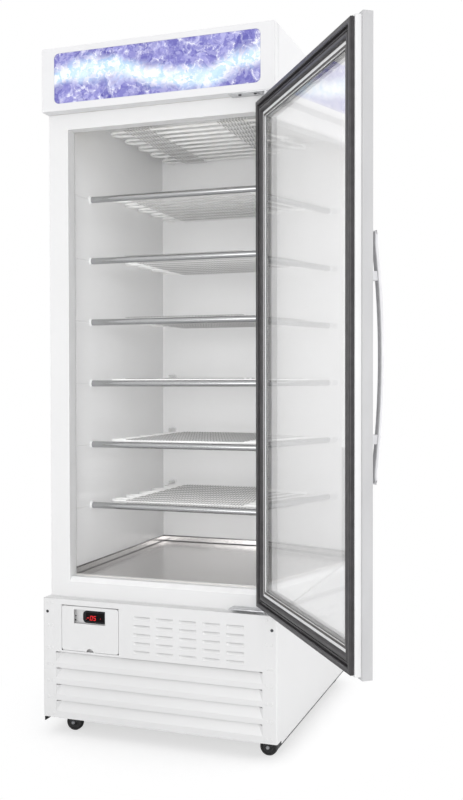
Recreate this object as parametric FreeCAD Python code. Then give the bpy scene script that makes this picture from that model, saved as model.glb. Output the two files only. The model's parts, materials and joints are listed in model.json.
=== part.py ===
"""Upright ice merchandiser freezer with a glass door, standing open.

Millimetres. +Z is up, -Y faces the user, +X is the hinge side. The origin lies on the floor
under the middle of the body. The door is drawn closed and then swung to where it stands.
"""

import FreeCAD, Part
import math
import os

os.makedirs("parts", exist_ok=True)

# ---------------------------------------------------------------- body
body_height = 2000.0
body_width = 708.0
body_depth = 800.0
front_overhang = 39.0
sheet = 1.2
skin = 1.0
insulation_side = 60.0
insulation_back = 66.0
insulation_floor = 59.0
insulation_top = 60.0
stile_width = 62.5
header_drop = 46.0
sill_height = 58.0
strip_depth = 40.0
strip_chamfer = 12.0
ceiling_rise = 12.0
pan_rim = 22.0
pan_front_rim = 3.0
pan_clearance = 0.3

# ---------------------------------------------------------------- base
base_width = 720.0
base_top = 400.0
panel_foot = 50.0
post_width = 42.0
post_wing = 40.0
post_return = 14.0
post_bevel = 4.0
panel_height = 155.0
louvre_columns = 5
louvre_rows = 5
louvre_width = 52.0
louvre_height = 11.0
louvre_column_pitch = 70.4
louvre_row_pitch = 24.4
louvre_middle_x = 98.7
louvre_top_z = 367.0
louvre_depth = 5.0
slat_count = 4
slat_recess = 12.0
slat_slope = 28.0
slat_lip = 8.0
slat_gap = 4.0
slat_end_facet = 15.0
skirt_foot = 41.0
rail_foot = 36.0
deck_underside = 69.0
deck_thickness = 2.5
rear_slots = 7
rear_slot_width = 260.0
rear_slot_height = 6.0
rear_slot_pitch = 22.0
rear_slot_head = 44.0
rear_slot_post = 44.0

# ---------------------------------------------------------------- canopy and sign
canopy_height = 182.0
canopy_width = 709.0
window_width = 628.0
window_height = 144.0
window_radius = 15.0
window_foot = 21.0
sign_thickness = 3.0
sign_margin = 8.0
lamp_radius = 8.0
lamp_length = 560.0
lamp_setback = 34.0
lamp_height = 45.0
holder_size = 26.0
holder_width = 13.0
holder_reach = 40.0
holder_bracket = 2.4

# ---------------------------------------------------------------- shelves
shelf_count = 6
first_rail_rise = 195.0
top_rail_drop = 238.5
rail_radius = 9.5
rail_sides = 12
rail_setback = 145.0
socket_radius = 13.0
socket_depth = 4.0
coil_lift = 10.0
coil_tube_radius = 4.0
tube_sides = 6
collar_sides = 8
coil_runs = 10
coil_run_pitch = 50.0
bend_step = 60.0
coil_front = 200.0
coil_loop_x = 233.0
coil_end_x = 262.0
return_line_x = 280.0
return_line_end = 35.0
ceiling_coil_drop = 25.0
mat_half_width = 192.0
mat_wires = 13
mat_wire = 2.0
mat_overhang_front = 35.0
mat_overhang_back = 15.0
ceiling_strip_wires = 3
ceiling_strip_inner = 113.0
clip_radius = 7.0
clip_x = 252.0
clip_length = 60.0
pipe_hole_clearance = 1.0
riser_bend = 50.0
riser_shift = 100.0
riser_setback = 19.0
suction_line_x = 288.0
suction_line_setback = 7.0
suction_rise = 12.0

# ---------------------------------------------------------------- door
door_width = 680.0
door_foot = 14.0
door_head = 23.0
door_angle = 125.4
hinge_inset = 13.0
hinge_setback = 30.0
hinge_pin_radius = 4.0
running_clearance = 0.05
bore_depth = 15.0
collar_reach = 7.0
parting = 0.3
gasket_height = 10.7
gasket_inset = 10.0
gasket_width = 36.0
gasket_shoulder = 8.0
gasket_bulb = 13.7
gasket_round = 2.2
gasket_groove = 4.0
gasket_floor = 3.2
gasket_wing = 7.5
gasket_edge = 2.9
inner_tier_depth = 14.0
inner_tier_inset = 6.5
outer_tier_depth = 23.0
front_lip = 13.0
door_face_width = 60.0
rabbet = 17.0
pane = 4.0
pane_gap = 12.0
spacer_width = 9.0
handle_length = 532.0
handle_middle_z = 1084.5
handle_width = 18.0
handle_thickness = 7.0
handle_inset = 30.0
handle_standoff = 14.0
handle_bow = 14.5
handle_pad = 30.0
handle_post_width = 14.0
handle_post_length = 20.0
handle_post_inset = 95.0
bracket_length = 118.0
bracket_plate = 3.0
bracket_height = 11.0
bracket_side = 11.0

# ---------------------------------------------------------------- controls
flap_left = -297.5
flap_right = -115.0
flap_foot = 252.0
flap_head = 382.0
flap_radius = 8.0
flap_thickness = 1.5
flap_gap = 1.0
flap_top_gap = 2.4
flap_window_left = -257.7
flap_window_right = -157.3
flap_window_foot = 332.5
flap_window_head = 373.0
notch_radius = 12.0
notch_drop = 3.0
flap_pivot_radius = 1.8
flap_pivot_drop = 3.0
flap_pivot_setback = 3.6
flap_lug = 3.0
flap_ear = 5.4
case_width = 77.0
case_height = 35.0
case_depth = 60.0
case_right = -157.5
case_middle_z = 351.0
case_setback = 12.0
bezel_depth = 3.0
bezel_radius = 11.5
plate_setback = 15.0
lens_width = 58.0
lens_height = 25.0
lens_depth = 1.5
key_count = 3
key_width = 12.0
key_height = 8.0
key_pitch = 26.0
key_z = 305.0
key_cap = 4.0
key_lift = 2.0
key_stem = 4.0
key_stem_length = 6.0

# ---------------------------------------------------------------- machine compartment
condenser_width = 290.0
condenser_height = 250.0
condenser_depth = 60.0
condenser_middle_x = 105.0
condenser_setback = 70.0
condenser_fins = 15
fin_thickness = 1.6
tube_bank_depth = 20.0
condenser_outlet_drop = 100.0
shroud_depth = 10.0
fan_radius = 98.0
fan_tip_clearance = 5.0
fan_hub_radius = 28.0
fan_hub_length = 24.0
fan_blades = 5
fan_shaft_radius = 4.0
blade_thickness = 2.0
blade_chord = 52.0
blade_camber = 6.0
blade_pitch = 18.0
motor_radius = 36.0
motor_length = 52.0
motor_arm_width = 16.0
motor_arm_thickness = 2.5
drum_flats = 36
compressor_x = 120.0
compressor_y = 150.0
compressor_radius = 78.0
compressor_height = 188.0
stub_root = 8.0
stub_offset = 20.0
foot_height = 14.0
foot_width = 20.0
foot_spread = 75.0
stub_length = 16.0
stub_radius = 7.0
tray_width = 220.0
tray_depth = 200.0
tray_height = 40.0
tray_wall = 1.5
tray_x = -190.0
tray_y = 220.0
pipe_radius = 4.0
pipe_standoff = 16.0

# ---------------------------------------------------------------- casters
wheel_radius = 25.0
wheel_width = 22.0
wheel_flats = 36
axle_radius = 3.0
caster_x = 302.0
caster_front_y = -345.0
caster_rear_y = 340.0
caster_trail = 18.0
caster_plate_width = 64.0
caster_plate_depth = 52.0
kingpin_radius = 5.0
kingpin_nut = 7.0
kingpin_nut_height = 2.6
crown_thickness = 2.6
race_height = 7.4
race_reach = 13.0
fork_leg = 2.5
fork_gap = 0.5
fork_eye = 8.0
pedal_pivot_trail = 21.5
pedal_pivot_rise = 20.5
pedal_eye = 3.6
pedal_pivot_radius = 2.0
pedal_reach = 12.0
pedal_drop = 12.0
pedal_width = 18.0
pedal_thickness = 2.5

# ---------------------------------------------------------------- planes that pieces share
front = -body_depth / 2.0
back = body_depth / 2.0
face = front + front_overhang
half = body_width / 2.0
base_half = base_width / 2.0
canopy_foot = body_height - canopy_height
liner_half = half - insulation_side
liner_back = back - insulation_back
liner_front = face + strip_depth
liner_floor = base_top + insulation_floor
opening_half = half - stile_width
opening_head = canopy_foot - header_drop
opening_sill = base_top + sill_height
liner_ceiling = canopy_foot + ceiling_rise
foam_top = liner_ceiling + insulation_top
first_rail_z = liner_floor + first_rail_rise
shelf_pitch = (liner_ceiling - top_rail_drop - first_rail_z) / (shelf_count - 1)
deck_top = deck_underside + deck_thickness
chassis_half = base_half - sheet
post_inner = base_half - post_width
panel_foot_z = base_top - panel_height

hinge_x = door_width / 2.0 - hinge_inset
hinge_y = face - hinge_setback
gasket_back = face - parting
gasket_base = gasket_back - gasket_height
tier_step = gasket_base - inner_tier_depth
door_front = tier_step - outer_tier_depth
door_low = base_top + door_foot
door_high = canopy_foot - door_head
door_half = door_width / 2.0
hinge_axis = FreeCAD.Vector(0, 0, 1)
hinge_point = FreeCAD.Vector(hinge_x, hinge_y, 0)


def vec(x, y, z):
    return FreeCAD.Vector(x, y, z)


def box(x0, x1, y0, y1, z0, z1):
    return Part.makeBox(x1 - x0, y1 - y0, z1 - z0, vec(x0, y0, z0))


def rod(radius, start, end):
    axis = end.sub(start)
    return Part.makeCylinder(radius, axis.Length, start, axis)


def prism(points, sweep):
    outline = Part.makePolygon(points + [points[0]])
    return Part.Face(outline).extrude(sweep)


def prism_x(outline, x0, x1):
    """A section in Y and Z, drawn out along X."""
    return prism([vec(x0, y, z) for y, z in outline], vec(x1 - x0, 0, 0))


def prism_y(outline, y0, y1):
    """A section in X and Z, drawn out along Y."""
    return prism([vec(x, y0, z) for x, z in outline], vec(0, y1 - y0, 0))


def prism_z(outline, z0, z1):
    """A section in X and Y, drawn out along Z."""
    return prism([vec(x, y, z0) for x, y in outline], vec(0, 0, z1 - z0))


def rounded_plate(x0, x1, z0, z1, radius, y0, y1):
    plate = box(x0, x1, y0, y1, z0, z1)
    corners = [e for e in plate.Edges if abs(e.tangentAt(e.FirstParameter).y) > 0.5]
    return plate.makeFillet(radius, corners)


def both_sides(shape):
    return [shape, shape.mirror(vec(0, 0, 0), vec(1, 0, 0))]


def solid_from(faces):
    shell = Part.makeShell(faces)
    solid = Part.makeSolid(shell)
    if solid.Volume < 0:
        solid.reverse()
    return solid


def mitred_ring(x0, x1, z0, z1, profile):
    """A rectangular frame with mitred corners; the profile is a loop of (inset, y)."""
    loops = []
    for inset, y in profile:
        low_x, high_x = x0 + inset, x1 - inset
        low_z, high_z = z0 + inset, z1 - inset
        loops.append([vec(low_x, y, low_z), vec(high_x, y, low_z),
                      vec(high_x, y, high_z), vec(low_x, y, high_z)])
    faces = []
    for i, loop in enumerate(loops):
        following = loops[(i + 1) % len(loops)]
        for j in range(4):
            k = (j + 1) % 4
            corners = [loop[j], loop[k], following[k], following[j]]
            faces.append(Part.Face(Part.makePolygon(corners + [corners[0]])))
    return solid_from(faces)


def bent_tube(points, apothem, sides):
    """A tube with flat sides, one of them upward, and mitred bends along the points."""
    radius = apothem / math.cos(math.pi / sides)
    first = points[1].sub(points[0]).normalize()
    across = vec(0, 0, 1)
    if abs(first.z) > 0.9:
        across = vec(1, 0, 0)
    side_axis = first.cross(across).normalize()
    up_axis = side_axis.cross(first).normalize()
    ring = []
    for i in range(sides):
        angle = 2.0 * math.pi * (i + 0.5) / sides + math.pi / 2.0
        spoke = side_axis * math.cos(angle) + up_axis * math.sin(angle)
        ring.append(points[0] + spoke * radius)
    rings = [ring]
    for i in range(1, len(points)):
        along = points[i].sub(points[i - 1]).normalize()
        plane = along
        if i < len(points) - 1:
            plane = along + points[i + 1].sub(points[i]).normalize()
        stretched = []
        for p in rings[-1]:
            travel = points[i].sub(p).dot(plane) / along.dot(plane)
            stretched.append(p + along * travel)
        rings.append(stretched)
    faces = [Part.Face(Part.makePolygon(r + [r[0]])) for r in (rings[0], rings[-1])]
    for near, far in zip(rings, rings[1:]):
        for i in range(sides):
            k = (i + 1) % sides
            corners = [near[i], near[k], far[k], far[i]]
            faces.append(Part.Face(Part.makePolygon(corners + [corners[0]])))
    return solid_from(faces)


def save(name, shapes):
    solids = []
    for shape in shapes:
        solids.extend(shape.Solids)
    shape = solids[0] if len(solids) == 1 else Part.makeCompound(solids)
    shape.exportStep("parts/" + name + ".step")


def opened(shape):
    """Swing a piece of the closed door to where the door stands."""
    turned = shape.copy()
    turned.rotate(hinge_point, hinge_axis, door_angle)
    return turned


# ================================================================ base
def chassis_frame():
    """Folded steel deck with side rails that hang below the skirts."""
    deck = box(-chassis_half, chassis_half, front + post_return, back - sheet, deck_underside, deck_top)
    rail = box(chassis_half - deck_thickness, chassis_half, front + post_bevel + sheet, back - sheet,
               rail_foot, deck_underside)
    lip_y = front + slat_recess + sheet
    lip = box(-post_inner, post_inner, lip_y, lip_y + deck_thickness, panel_foot + sheet, deck_underside)
    rear_lip = box(-chassis_half + deck_thickness, chassis_half - deck_thickness,
                   back - sheet - deck_thickness, back - sheet, panel_foot, deck_underside)
    return deck.fuse(both_sides(rail) + [lip, rear_lip]).removeSplitter()


def front_posts():
    """Folded corner posts, one each side of the front panels."""
    outline = [
        (post_inner, front),
        (base_half - post_bevel, front),
        (base_half, front + post_bevel),
        (base_half, front + post_wing),
        (base_half - sheet, front + post_wing),
        (base_half - sheet, front + post_bevel + sheet / 2.0),
        (base_half - post_bevel - sheet / 2.0, front + sheet),
        (post_inner + sheet, front + sheet),
        (post_inner + sheet, front + post_return),
        (post_inner, front + post_return),
    ]
    shell = prism_z(outline, panel_foot, base_top)
    cap = box(post_inner + sheet, base_half - sheet, front + post_bevel + sheet, face,
              base_top - sheet, base_top)
    return both_sides(shell.fuse(cap).removeSplitter())


def louvre_tongue(x, top):
    """One pressed louvre: a tongue that leans back to its open top edge, with two cheeks."""
    low = top - louvre_height
    lean = [
        (front, low),
        (front + louvre_depth, top),
        (front + louvre_depth + sheet, top),
        (front + sheet, low),
    ]
    cheek = [(front, low), (front, top), (front + louvre_depth, top)]
    left = x - louvre_width / 2.0
    right = x + louvre_width / 2.0
    tongue = prism_x(lean, left, right)
    ends = [prism_x(cheek, left, left + skin), prism_x(cheek, right - skin, right)]
    return tongue.fuse(ends)


def louvre_panel():
    """Upper front panel with pressed louvres and the opening for the control flap."""
    plate = box(-post_inner, post_inner, front, front + sheet, panel_foot_z, base_top)
    ledge = box(-post_inner, post_inner, front + sheet, face, base_top - sheet, base_top)
    windows = [box(flap_left - flap_gap, flap_right + flap_gap, front, front + sheet,
                   flap_foot - flap_gap, flap_head + flap_top_gap)]
    tongues = []
    middle_column = (louvre_columns - 1) / 2.0
    for column in range(louvre_columns):
        x = louvre_middle_x + (column - middle_column) * louvre_column_pitch
        for row in range(louvre_rows):
            top = louvre_top_z - row * louvre_row_pitch
            windows.append(box(x - louvre_width / 2.0, x + louvre_width / 2.0, front, front + sheet,
                               top - louvre_height, top))
            tongues.append(louvre_tongue(x, top))
    panel = plate.cut(Part.makeCompound(windows)).fuse(tongues + [ledge])
    pivot_y, pivot_z = flap_pivot()
    ears = []
    for x0 in (flap_left - flap_gap - sheet, flap_right + flap_gap):
        ear = box(x0, x0 + sheet, front + sheet, pivot_y + flap_ear, pivot_z - flap_ear, pivot_z + flap_ear)
        hole = rod(flap_pivot_radius + running_clearance, vec(x0 - sheet, pivot_y, pivot_z),
                   vec(x0 + 2.0 * sheet, pivot_y, pivot_z))
        ears.append(ear.cut(hole))
    return panel.fuse(ears).removeSplitter()


def slat_grille():
    """Lower front grille: wide slats that lean out as they go down, tied by two end plates."""
    top = panel_foot_z - slat_gap
    pitch = (top - panel_foot) / slat_count
    slats = []
    for i in range(slat_count):
        high = top - i * pitch
        knee = high - slat_slope
        low = high - pitch + slat_gap
        if i == slat_count - 1:
            low = panel_foot
        outline = [
            (front + slat_recess, high),
            (front, knee),
            (front, low),
            (front + slat_lip, low),
            (front + slat_lip, low + sheet),
            (front + sheet, low + sheet),
            (front + sheet, knee),
            (front + slat_recess + sheet, high),
        ]
        slats.append(prism_x(outline, -post_inner, post_inner))
        tip = [vec(post_inner, front, knee), vec(post_inner, front, high),
               vec(post_inner - slat_end_facet, front + slat_recess, high),
               vec(post_inner, front + slat_recess, high)]
        facets = []
        for a, b, c in ((0, 1, 2), (0, 2, 3), (0, 3, 1), (1, 3, 2)):
            facets.append(Part.Face(Part.makePolygon([tip[a], tip[b], tip[c], tip[a]])))
        slats.extend(both_sides(solid_from(facets)))
    ends = box(post_inner - sheet, post_inner, front + sheet, front + slat_recess + sheet,
               panel_foot, top)
    grille = slats[0].fuse(slats[1:] + both_sides(ends))
    return grille.removeSplitter()


def side_skirts():
    """Lower side panels with a shelf on top that carries the cabinet."""
    outline = [
        (base_half - sheet, skirt_foot),
        (base_half, skirt_foot),
        (base_half, base_top),
        (liner_half, base_top),
        (liner_half, base_top - sheet),
        (base_half - sheet, base_top - sheet),
    ]
    skirt = prism_y(outline, front + post_wing, back)
    return both_sides(skirt)


def rear_cover():
    """Removable rear panel with cooling slots."""
    plate = box(-chassis_half, chassis_half, back - sheet, back, panel_foot, base_top - sheet)
    slots = []
    for i in range(rear_slots):
        z = base_top - rear_slot_head - i * rear_slot_pitch
        slot = box(rear_slot_post / 2.0, rear_slot_post / 2.0 + rear_slot_width, back - sheet, back,
                   z - rear_slot_height / 2.0, z + rear_slot_height / 2.0)
        slots.extend(both_sides(slot))
    return plate.cut(Part.makeCompound(slots))


# ================================================================ machine compartment
def condenser():
    """Finned condenser: a tube bank with plate fins on both faces between two end plates."""
    x0 = condenser_middle_x - condenser_width / 2.0
    y0 = front + condenser_setback
    bank0 = y0 + (condenser_depth - tube_bank_depth) / 2.0
    bank1 = bank0 + tube_bank_depth
    pitch = condenser_width / (condenser_fins - 1)
    lower, upper = [], []
    for i in range(condenser_fins):
        left = x0 + i * pitch - fin_thickness / 2.0
        right = left + fin_thickness
        lower.extend([(left, bank0), (left, y0), (right, y0), (right, bank0)])
        upper.extend([(left, bank1), (left, y0 + condenser_depth),
                      (right, y0 + condenser_depth), (right, bank1)])
    block = prism_z(lower + upper[::-1], deck_top + sheet, deck_top + condenser_height)
    foot = box(x0 - fin_thickness / 2.0, x0 + condenser_width + fin_thickness / 2.0,
               y0, y0 + condenser_depth, deck_top, deck_top + sheet)
    return block.fuse(foot).removeSplitter()


def fan_centre():
    y = front + condenser_setback + condenser_depth + shroud_depth
    return vec(condenser_middle_x, y, deck_top + condenser_height / 2.0)


def fan_shroud():
    """Plate with a round mouth that draws the air through the condenser."""
    centre = fan_centre()
    x0 = condenser_middle_x - condenser_width / 2.0
    duct = box(x0, x0 + condenser_width, centre.y - shroud_depth, centre.y,
               deck_top, deck_top + condenser_height)
    hollow = box(x0 + sheet, x0 + condenser_width - sheet, centre.y - shroud_depth, centre.y - sheet,
                 deck_top + sheet, deck_top + condenser_height - sheet)
    mouth = bent_tube([centre - vec(0, 2.0 * shroud_depth, 0), centre + vec(0, sheet, 0)],
                      fan_radius + fan_tip_clearance, drum_flats)
    return duct.cut(hollow).cut(mouth)


def fan_motor():
    """Small fan motor on a strap behind the shroud, with its shaft towards the condenser."""
    centre = fan_centre()
    motor_front = centre + vec(0, fan_hub_length + 2.0 * sheet, 0)
    motor_back = motor_front + vec(0, motor_length, 0)
    can = bent_tube([motor_front, motor_back], motor_radius, drum_flats)
    shaft = rod(fan_shaft_radius, centre - vec(0, sheet, 0), motor_front)
    reach = fan_radius + fan_tip_clearance + motor_arm_width
    low = centre.z - motor_arm_width / 2.0
    high = centre.z + motor_arm_width / 2.0
    strap = box(centre.x - reach, centre.x + reach,
                motor_back.y, motor_back.y + motor_arm_thickness, low, high)
    legs = []
    for edge in (centre.x - reach, centre.x + reach - motor_arm_thickness):
        legs.append(box(edge, edge + motor_arm_thickness, centre.y, motor_back.y, low, high))
    return can.fuse([shaft, strap] + legs).removeSplitter()


def fan_blade():
    """One pressed sheet blade with three flats, set at its pitch."""
    half_chord = blade_chord / 2.0
    root = fan_hub_radius - blade_thickness
    tip = math.sqrt(fan_radius ** 2 - half_chord ** 2)
    flat = half_chord / 3.0
    crest = [(-half_chord, 0.0), (-flat, blade_camber), (flat, blade_camber), (half_chord, 0.0)]
    lower = [vec(x, y, root) for x, y in crest]
    upper = [vec(x, y + blade_thickness, root) for x, y in reversed(crest)]
    blade = prism(lower + upper, vec(0, 0, tip - root))
    blade.rotate(vec(0, 0, 0), vec(0, 0, 1), blade_pitch)
    return blade


def fan_rotor():
    """Five blades on a hub that turns on the motor shaft."""
    centre = fan_centre()
    blade = fan_blade()
    blade.translate(vec(0, (fan_hub_length - blade_camber) / 2.0, 0))
    hub = bent_tube([vec(0, 0, 0), vec(0, fan_hub_length, 0)], fan_hub_radius, drum_flats)
    blades = []
    for i in range(fan_blades):
        turned = blade.copy()
        turned.rotate(vec(0, 0, 0), vec(0, 1, 0), 360.0 * i / fan_blades)
        blades.append(turned)
    bore = rod(fan_shaft_radius + running_clearance, vec(0, -sheet, 0),
               vec(0, fan_hub_length + sheet, 0))
    rotor = hub.fuse(blades).cut(bore)
    rotor.translate(centre + vec(0, sheet, 0))
    return rotor


def compressor_low():
    return deck_top + foot_height + bracket_plate


def compressor():
    """Welded compressor pot on a foot plate with four rubber feet and two pipe stubs."""
    low = compressor_low()
    foot = vec(compressor_x, compressor_y, low)
    pot = bent_tube([foot, foot + vec(0, 0, compressor_height)], compressor_radius, drum_flats)
    reach = foot_spread + foot_width / 2.0
    plate = box(compressor_x - reach, compressor_x + reach, compressor_y - reach, compressor_y + reach,
                low - bracket_plate, low)
    feet = []
    for x in (compressor_x - foot_spread, compressor_x + foot_spread):
        for y in (compressor_y - foot_spread, compressor_y + foot_spread):
            feet.append(box(x - foot_width / 2.0, x + foot_width / 2.0,
                            y - foot_width / 2.0, y + foot_width / 2.0, deck_top, low - bracket_plate))
    stubs = []
    for side, z in compressor_stubs():
        start = compressor_x + side * (compressor_radius - stub_root)
        ends = [vec(start, compressor_y, z), vec(compressor_stub_end(side), compressor_y, z)]
        stubs.append(bent_tube(ends, stub_radius, tube_sides))
    return [pot.fuse([plate] + stubs).removeSplitter()] + feet


def compressor_stub_end(side):
    return compressor_x + side * (compressor_radius + stub_length)


def compressor_stubs():
    """The side and the height of the suction stub and of the discharge stub."""
    middle = compressor_low() + compressor_height / 2.0
    return ((1, middle + stub_offset), (-1, middle - stub_offset))


def drain_pan():
    """Tray on the deck that catches the defrost water."""
    x0, x1 = tray_x - tray_width / 2.0, tray_x + tray_width / 2.0
    y0, y1 = tray_y - tray_depth / 2.0, tray_y + tray_depth / 2.0
    tray = box(x0, x1, y0, y1, deck_top, deck_top + tray_height)
    hollow = box(x0 + tray_wall, x1 - tray_wall, y0 + tray_wall, y1 - tray_wall,
                 deck_top + tray_wall, deck_top + tray_height)
    return tray.cut(hollow)


# ================================================================ cabinet
def outer_shell():
    """White sheet steel round the sides and the back of the cabinet."""
    skin_box = box(-half, half, face, back, base_top, canopy_foot)
    inside = box(-half + skin, half - skin, face, back - skin, base_top, canopy_foot)
    return skin_box.cut(inside)


def pipe_holes():
    """Clearance holes through the floor for the two refrigerant pipes."""
    holes = []
    for x, y in (liquid_line_place(), suction_line_place()):
        holes.append(bent_tube([vec(x, y, base_top - sheet), vec(x, y, liner_floor + pan_rim)],
                               pipe_radius + pipe_hole_clearance, tube_sides))
    return Part.makeCompound(holes)


def liquid_line_place():
    return return_line_x, liner_back - riser_setback


def suction_line_place():
    return suction_line_x, liner_back - suction_line_setback


def foam_core():
    """Foamed insulation that fills the walls between the outer shell and the liner."""
    body = box(-half + skin, half - skin, face + skin, back - skin, base_top, canopy_foot)
    crown = box(-half + skin, half - skin, face + sheet, back - sheet, canopy_foot, foam_top)
    cavity = box(-liner_half - skin, liner_half + skin, liner_front, liner_back + skin,
                 liner_floor - skin, liner_ceiling + skin)
    mouth = box(-opening_half - skin, opening_half + skin, face, liner_front,
                opening_sill - strip_chamfer - skin, opening_head + skin)
    return body.fuse(crown).removeSplitter().cut(cavity).cut(mouth).cut(pipe_holes())


def inner_liner():
    """White liner: one five-sided box."""
    outside = box(-liner_half - skin, liner_half + skin, liner_front, liner_back + skin,
                  liner_floor - skin, liner_ceiling + skin)
    inside = box(-liner_half, liner_half, liner_front, liner_back, liner_floor, liner_ceiling)
    return outside.cut(inside).cut(pipe_holes())


def face_frame():
    """Painted face strips round the door opening: two stiles, the header and the sill."""
    stile = box(opening_half + skin, half - skin, face, face + skin, base_top, canopy_foot)
    header = box(-opening_half - skin, opening_half + skin, face, face + skin,
                 opening_head + skin, canopy_foot)
    sill = box(-opening_half - skin, opening_half + skin, face, face + skin, base_top,
               opening_sill - strip_chamfer - skin)
    return both_sides(stile) + [header, sill]


def breaker_strip():
    """Moulded strip that lines the opening, with a chamfer over the sill."""
    outside = box(-opening_half - skin, opening_half + skin, face, liner_front,
                  opening_sill - strip_chamfer - skin, opening_head + skin)
    mouth = [
        (face, opening_sill - strip_chamfer),
        (face + strip_chamfer, opening_sill),
        (liner_front, opening_sill),
        (liner_front, opening_head),
        (face, opening_head),
    ]
    return outside.cut(prism_x(mouth, -opening_half, opening_half))


def floor_pan():
    """Folded stainless pan that lines the floor, its front edge low."""
    x1 = liner_half - pan_clearance
    y0 = liner_front
    y1 = liner_back - pan_clearance
    tray = box(-x1, x1, y0, y1, liner_floor, liner_floor + pan_rim)
    hollow = box(-x1 + skin, x1 - skin, y0 + skin, y1 - skin, liner_floor + skin, liner_floor + pan_rim)
    low_front = box(-x1 + skin, x1 - skin, y0, y0 + skin,
                    liner_floor + pan_front_rim, liner_floor + pan_rim)
    return tray.cut(hollow).cut(low_front).cut(pipe_holes())


# ================================================================ canopy
def canopy_housing():
    """Sheet steel canopy over the whole top, with the sign window in its front."""
    x1 = canopy_width / 2.0
    outside = box(-x1, x1, front, back, canopy_foot, body_height)
    inside = box(-x1 + sheet, x1 - sheet, front + sheet, back - sheet,
                 canopy_foot + sheet, body_height - sheet)
    seat = box(-x1 + sheet, x1 - sheet, face, back - sheet, canopy_foot, canopy_foot + sheet)
    low = canopy_foot + window_foot
    window = rounded_plate(-window_width / 2.0, window_width / 2.0, low, low + window_height, window_radius,
                           front - sheet, front + 2.0 * sheet)
    return outside.cut(inside).cut(seat).cut(window)


def sign_panel():
    """Translucent panel behind the window."""
    low = canopy_foot + window_foot - sign_margin
    return box(-window_width / 2.0 - sign_margin, window_width / 2.0 + sign_margin,
               front + sheet, front + sheet + sign_thickness, low, low + window_height + 2.0 * sign_margin)


def lamp_axis():
    return front + sheet + sign_thickness + lamp_setback, foam_top + lamp_height


def lamp_tube():
    y, z = lamp_axis()
    return rod(lamp_radius, vec(-lamp_length / 2.0, y, z), vec(lamp_length / 2.0, y, z))


def lamp_holders():
    """Two sockets that grip the tube, on brackets that stand on the insulation."""
    y, z = lamp_axis()
    x0 = lamp_length / 2.0
    x1 = x0 + holder_width
    reach = holder_size / 2.0
    foot_y = face + sheet + holder_reach
    head = box(x0, x1, y - reach, y + reach, z - reach, z + reach)
    arm = box(x0, x1, y - reach, foot_y, z - reach, z - reach + holder_bracket)
    foot = box(x0, x1, foot_y - holder_bracket, foot_y, foam_top, z - reach)
    return both_sides(head.fuse([arm, foot]).removeSplitter())


# ================================================================ shelves
def rail_heights():
    return [first_rail_z + i * shelf_pitch for i in range(shelf_count)]


def coil_heights():
    heights = [z + coil_lift for z in rail_heights()]
    return heights + [liner_ceiling - ceiling_coil_drop]


def coil_path(z):
    """Centre line of one serpentine, from the end of its return line to its last run."""
    radius = coil_run_pitch / 2.0
    corner = radius / math.cos(math.radians(bend_step / 2.0))
    y = face + coil_front
    points = [vec(return_line_x, return_line_y(), z), vec(return_line_x, y, z)]
    side = -1
    for _ in range(coil_runs - 1):
        middle = vec(side * coil_loop_x, y + radius, z)
        for turn in (-bend_step, 0.0, bend_step):
            angle = math.radians(turn)
            points.append(middle + vec(side * corner * math.cos(angle), corner * math.sin(angle), 0))
        y += coil_run_pitch
        side = -side
    points.append(vec(coil_end_x, y, z))
    return points


def return_line_y():
    return liner_back - return_line_end


def evaporator(z, overhead):
    """One evaporator plane: a serpentine tube with wires welded across it."""
    tube = bent_tube(coil_path(z), coil_tube_radius, tube_sides)
    y0 = face + coil_front - mat_overhang_front
    y1 = face + coil_front + (coil_runs - 1) * coil_run_pitch + mat_overhang_back
    pitch = 2.0 * mat_half_width / (mat_wires - 1)
    wires = []
    if overhead:
        for i in range(ceiling_strip_wires):
            x = ceiling_strip_inner + i * pitch
            wire = box(x - mat_wire / 2.0, x + mat_wire / 2.0, y0, y1,
                       z - coil_tube_radius - mat_wire, z - coil_tube_radius)
            wires.extend(both_sides(wire))
        return [tube] + wires
    for i in range(mat_wires):
        x = -mat_half_width + i * pitch
        wires.append(box(x - mat_wire / 2.0, x + mat_wire / 2.0, y0, y1,
                         z + coil_tube_radius, z + coil_tube_radius + mat_wire))
    return [tube] + wires


def shelf_rails():
    y = face + rail_setback
    x = liner_half - socket_depth
    return [bent_tube([vec(-x, y, z), vec(x, y, z)], rail_radius, rail_sides) for z in rail_heights()]


def wall_fittings():
    """Sockets at the ends of the rails, and the pegs that hold the coils off the back wall."""
    y = face + rail_setback
    fittings = []
    for z in rail_heights():
        ends = [vec(liner_half - socket_depth, y, z), vec(liner_half, y, z)]
        fittings.extend(both_sides(bent_tube(ends, socket_radius, collar_sides)))
    for z in coil_heights():
        height = z + coil_tube_radius + clip_radius
        ends = [vec(-clip_x, liner_back - clip_length, height), vec(-clip_x, liner_back, height)]
        fittings.append(bent_tube(ends, clip_radius, tube_sides))
    return fittings


def cabinet_pipes():
    """Risers from one coil to the next, and the liquid and suction lines down to the floor."""
    heights = coil_heights()
    run_y = face + coil_front + (coil_runs - 1) * coil_run_pitch
    aside = (coil_end_x + return_line_x) / 2.0
    line_x, line_y = liquid_line_place()
    suction_x, suction_y = suction_line_place()
    pipes = []
    for low, high in zip(heights, heights[1:]):
        pipes.append([vec(coil_end_x, run_y, low), vec(aside, run_y, low),
                      vec(aside, run_y, low + riser_bend), vec(line_x, line_y, low + riser_shift),
                      vec(line_x, line_y, high), vec(line_x, return_line_y(), high)])
    first = heights[0]
    pipes.append([vec(line_x, return_line_y(), first), vec(line_x, line_y, first),
                  vec(line_x, line_y, base_top)])
    last = heights[-1]
    over = last + suction_rise
    pipes.append([vec(coil_end_x, run_y, last), vec(aside, run_y, last), vec(aside, run_y, over),
                  vec(aside, suction_y, over), vec(suction_x, suction_y, over),
                  vec(suction_x, suction_y, base_top)])
    return pipes


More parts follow.
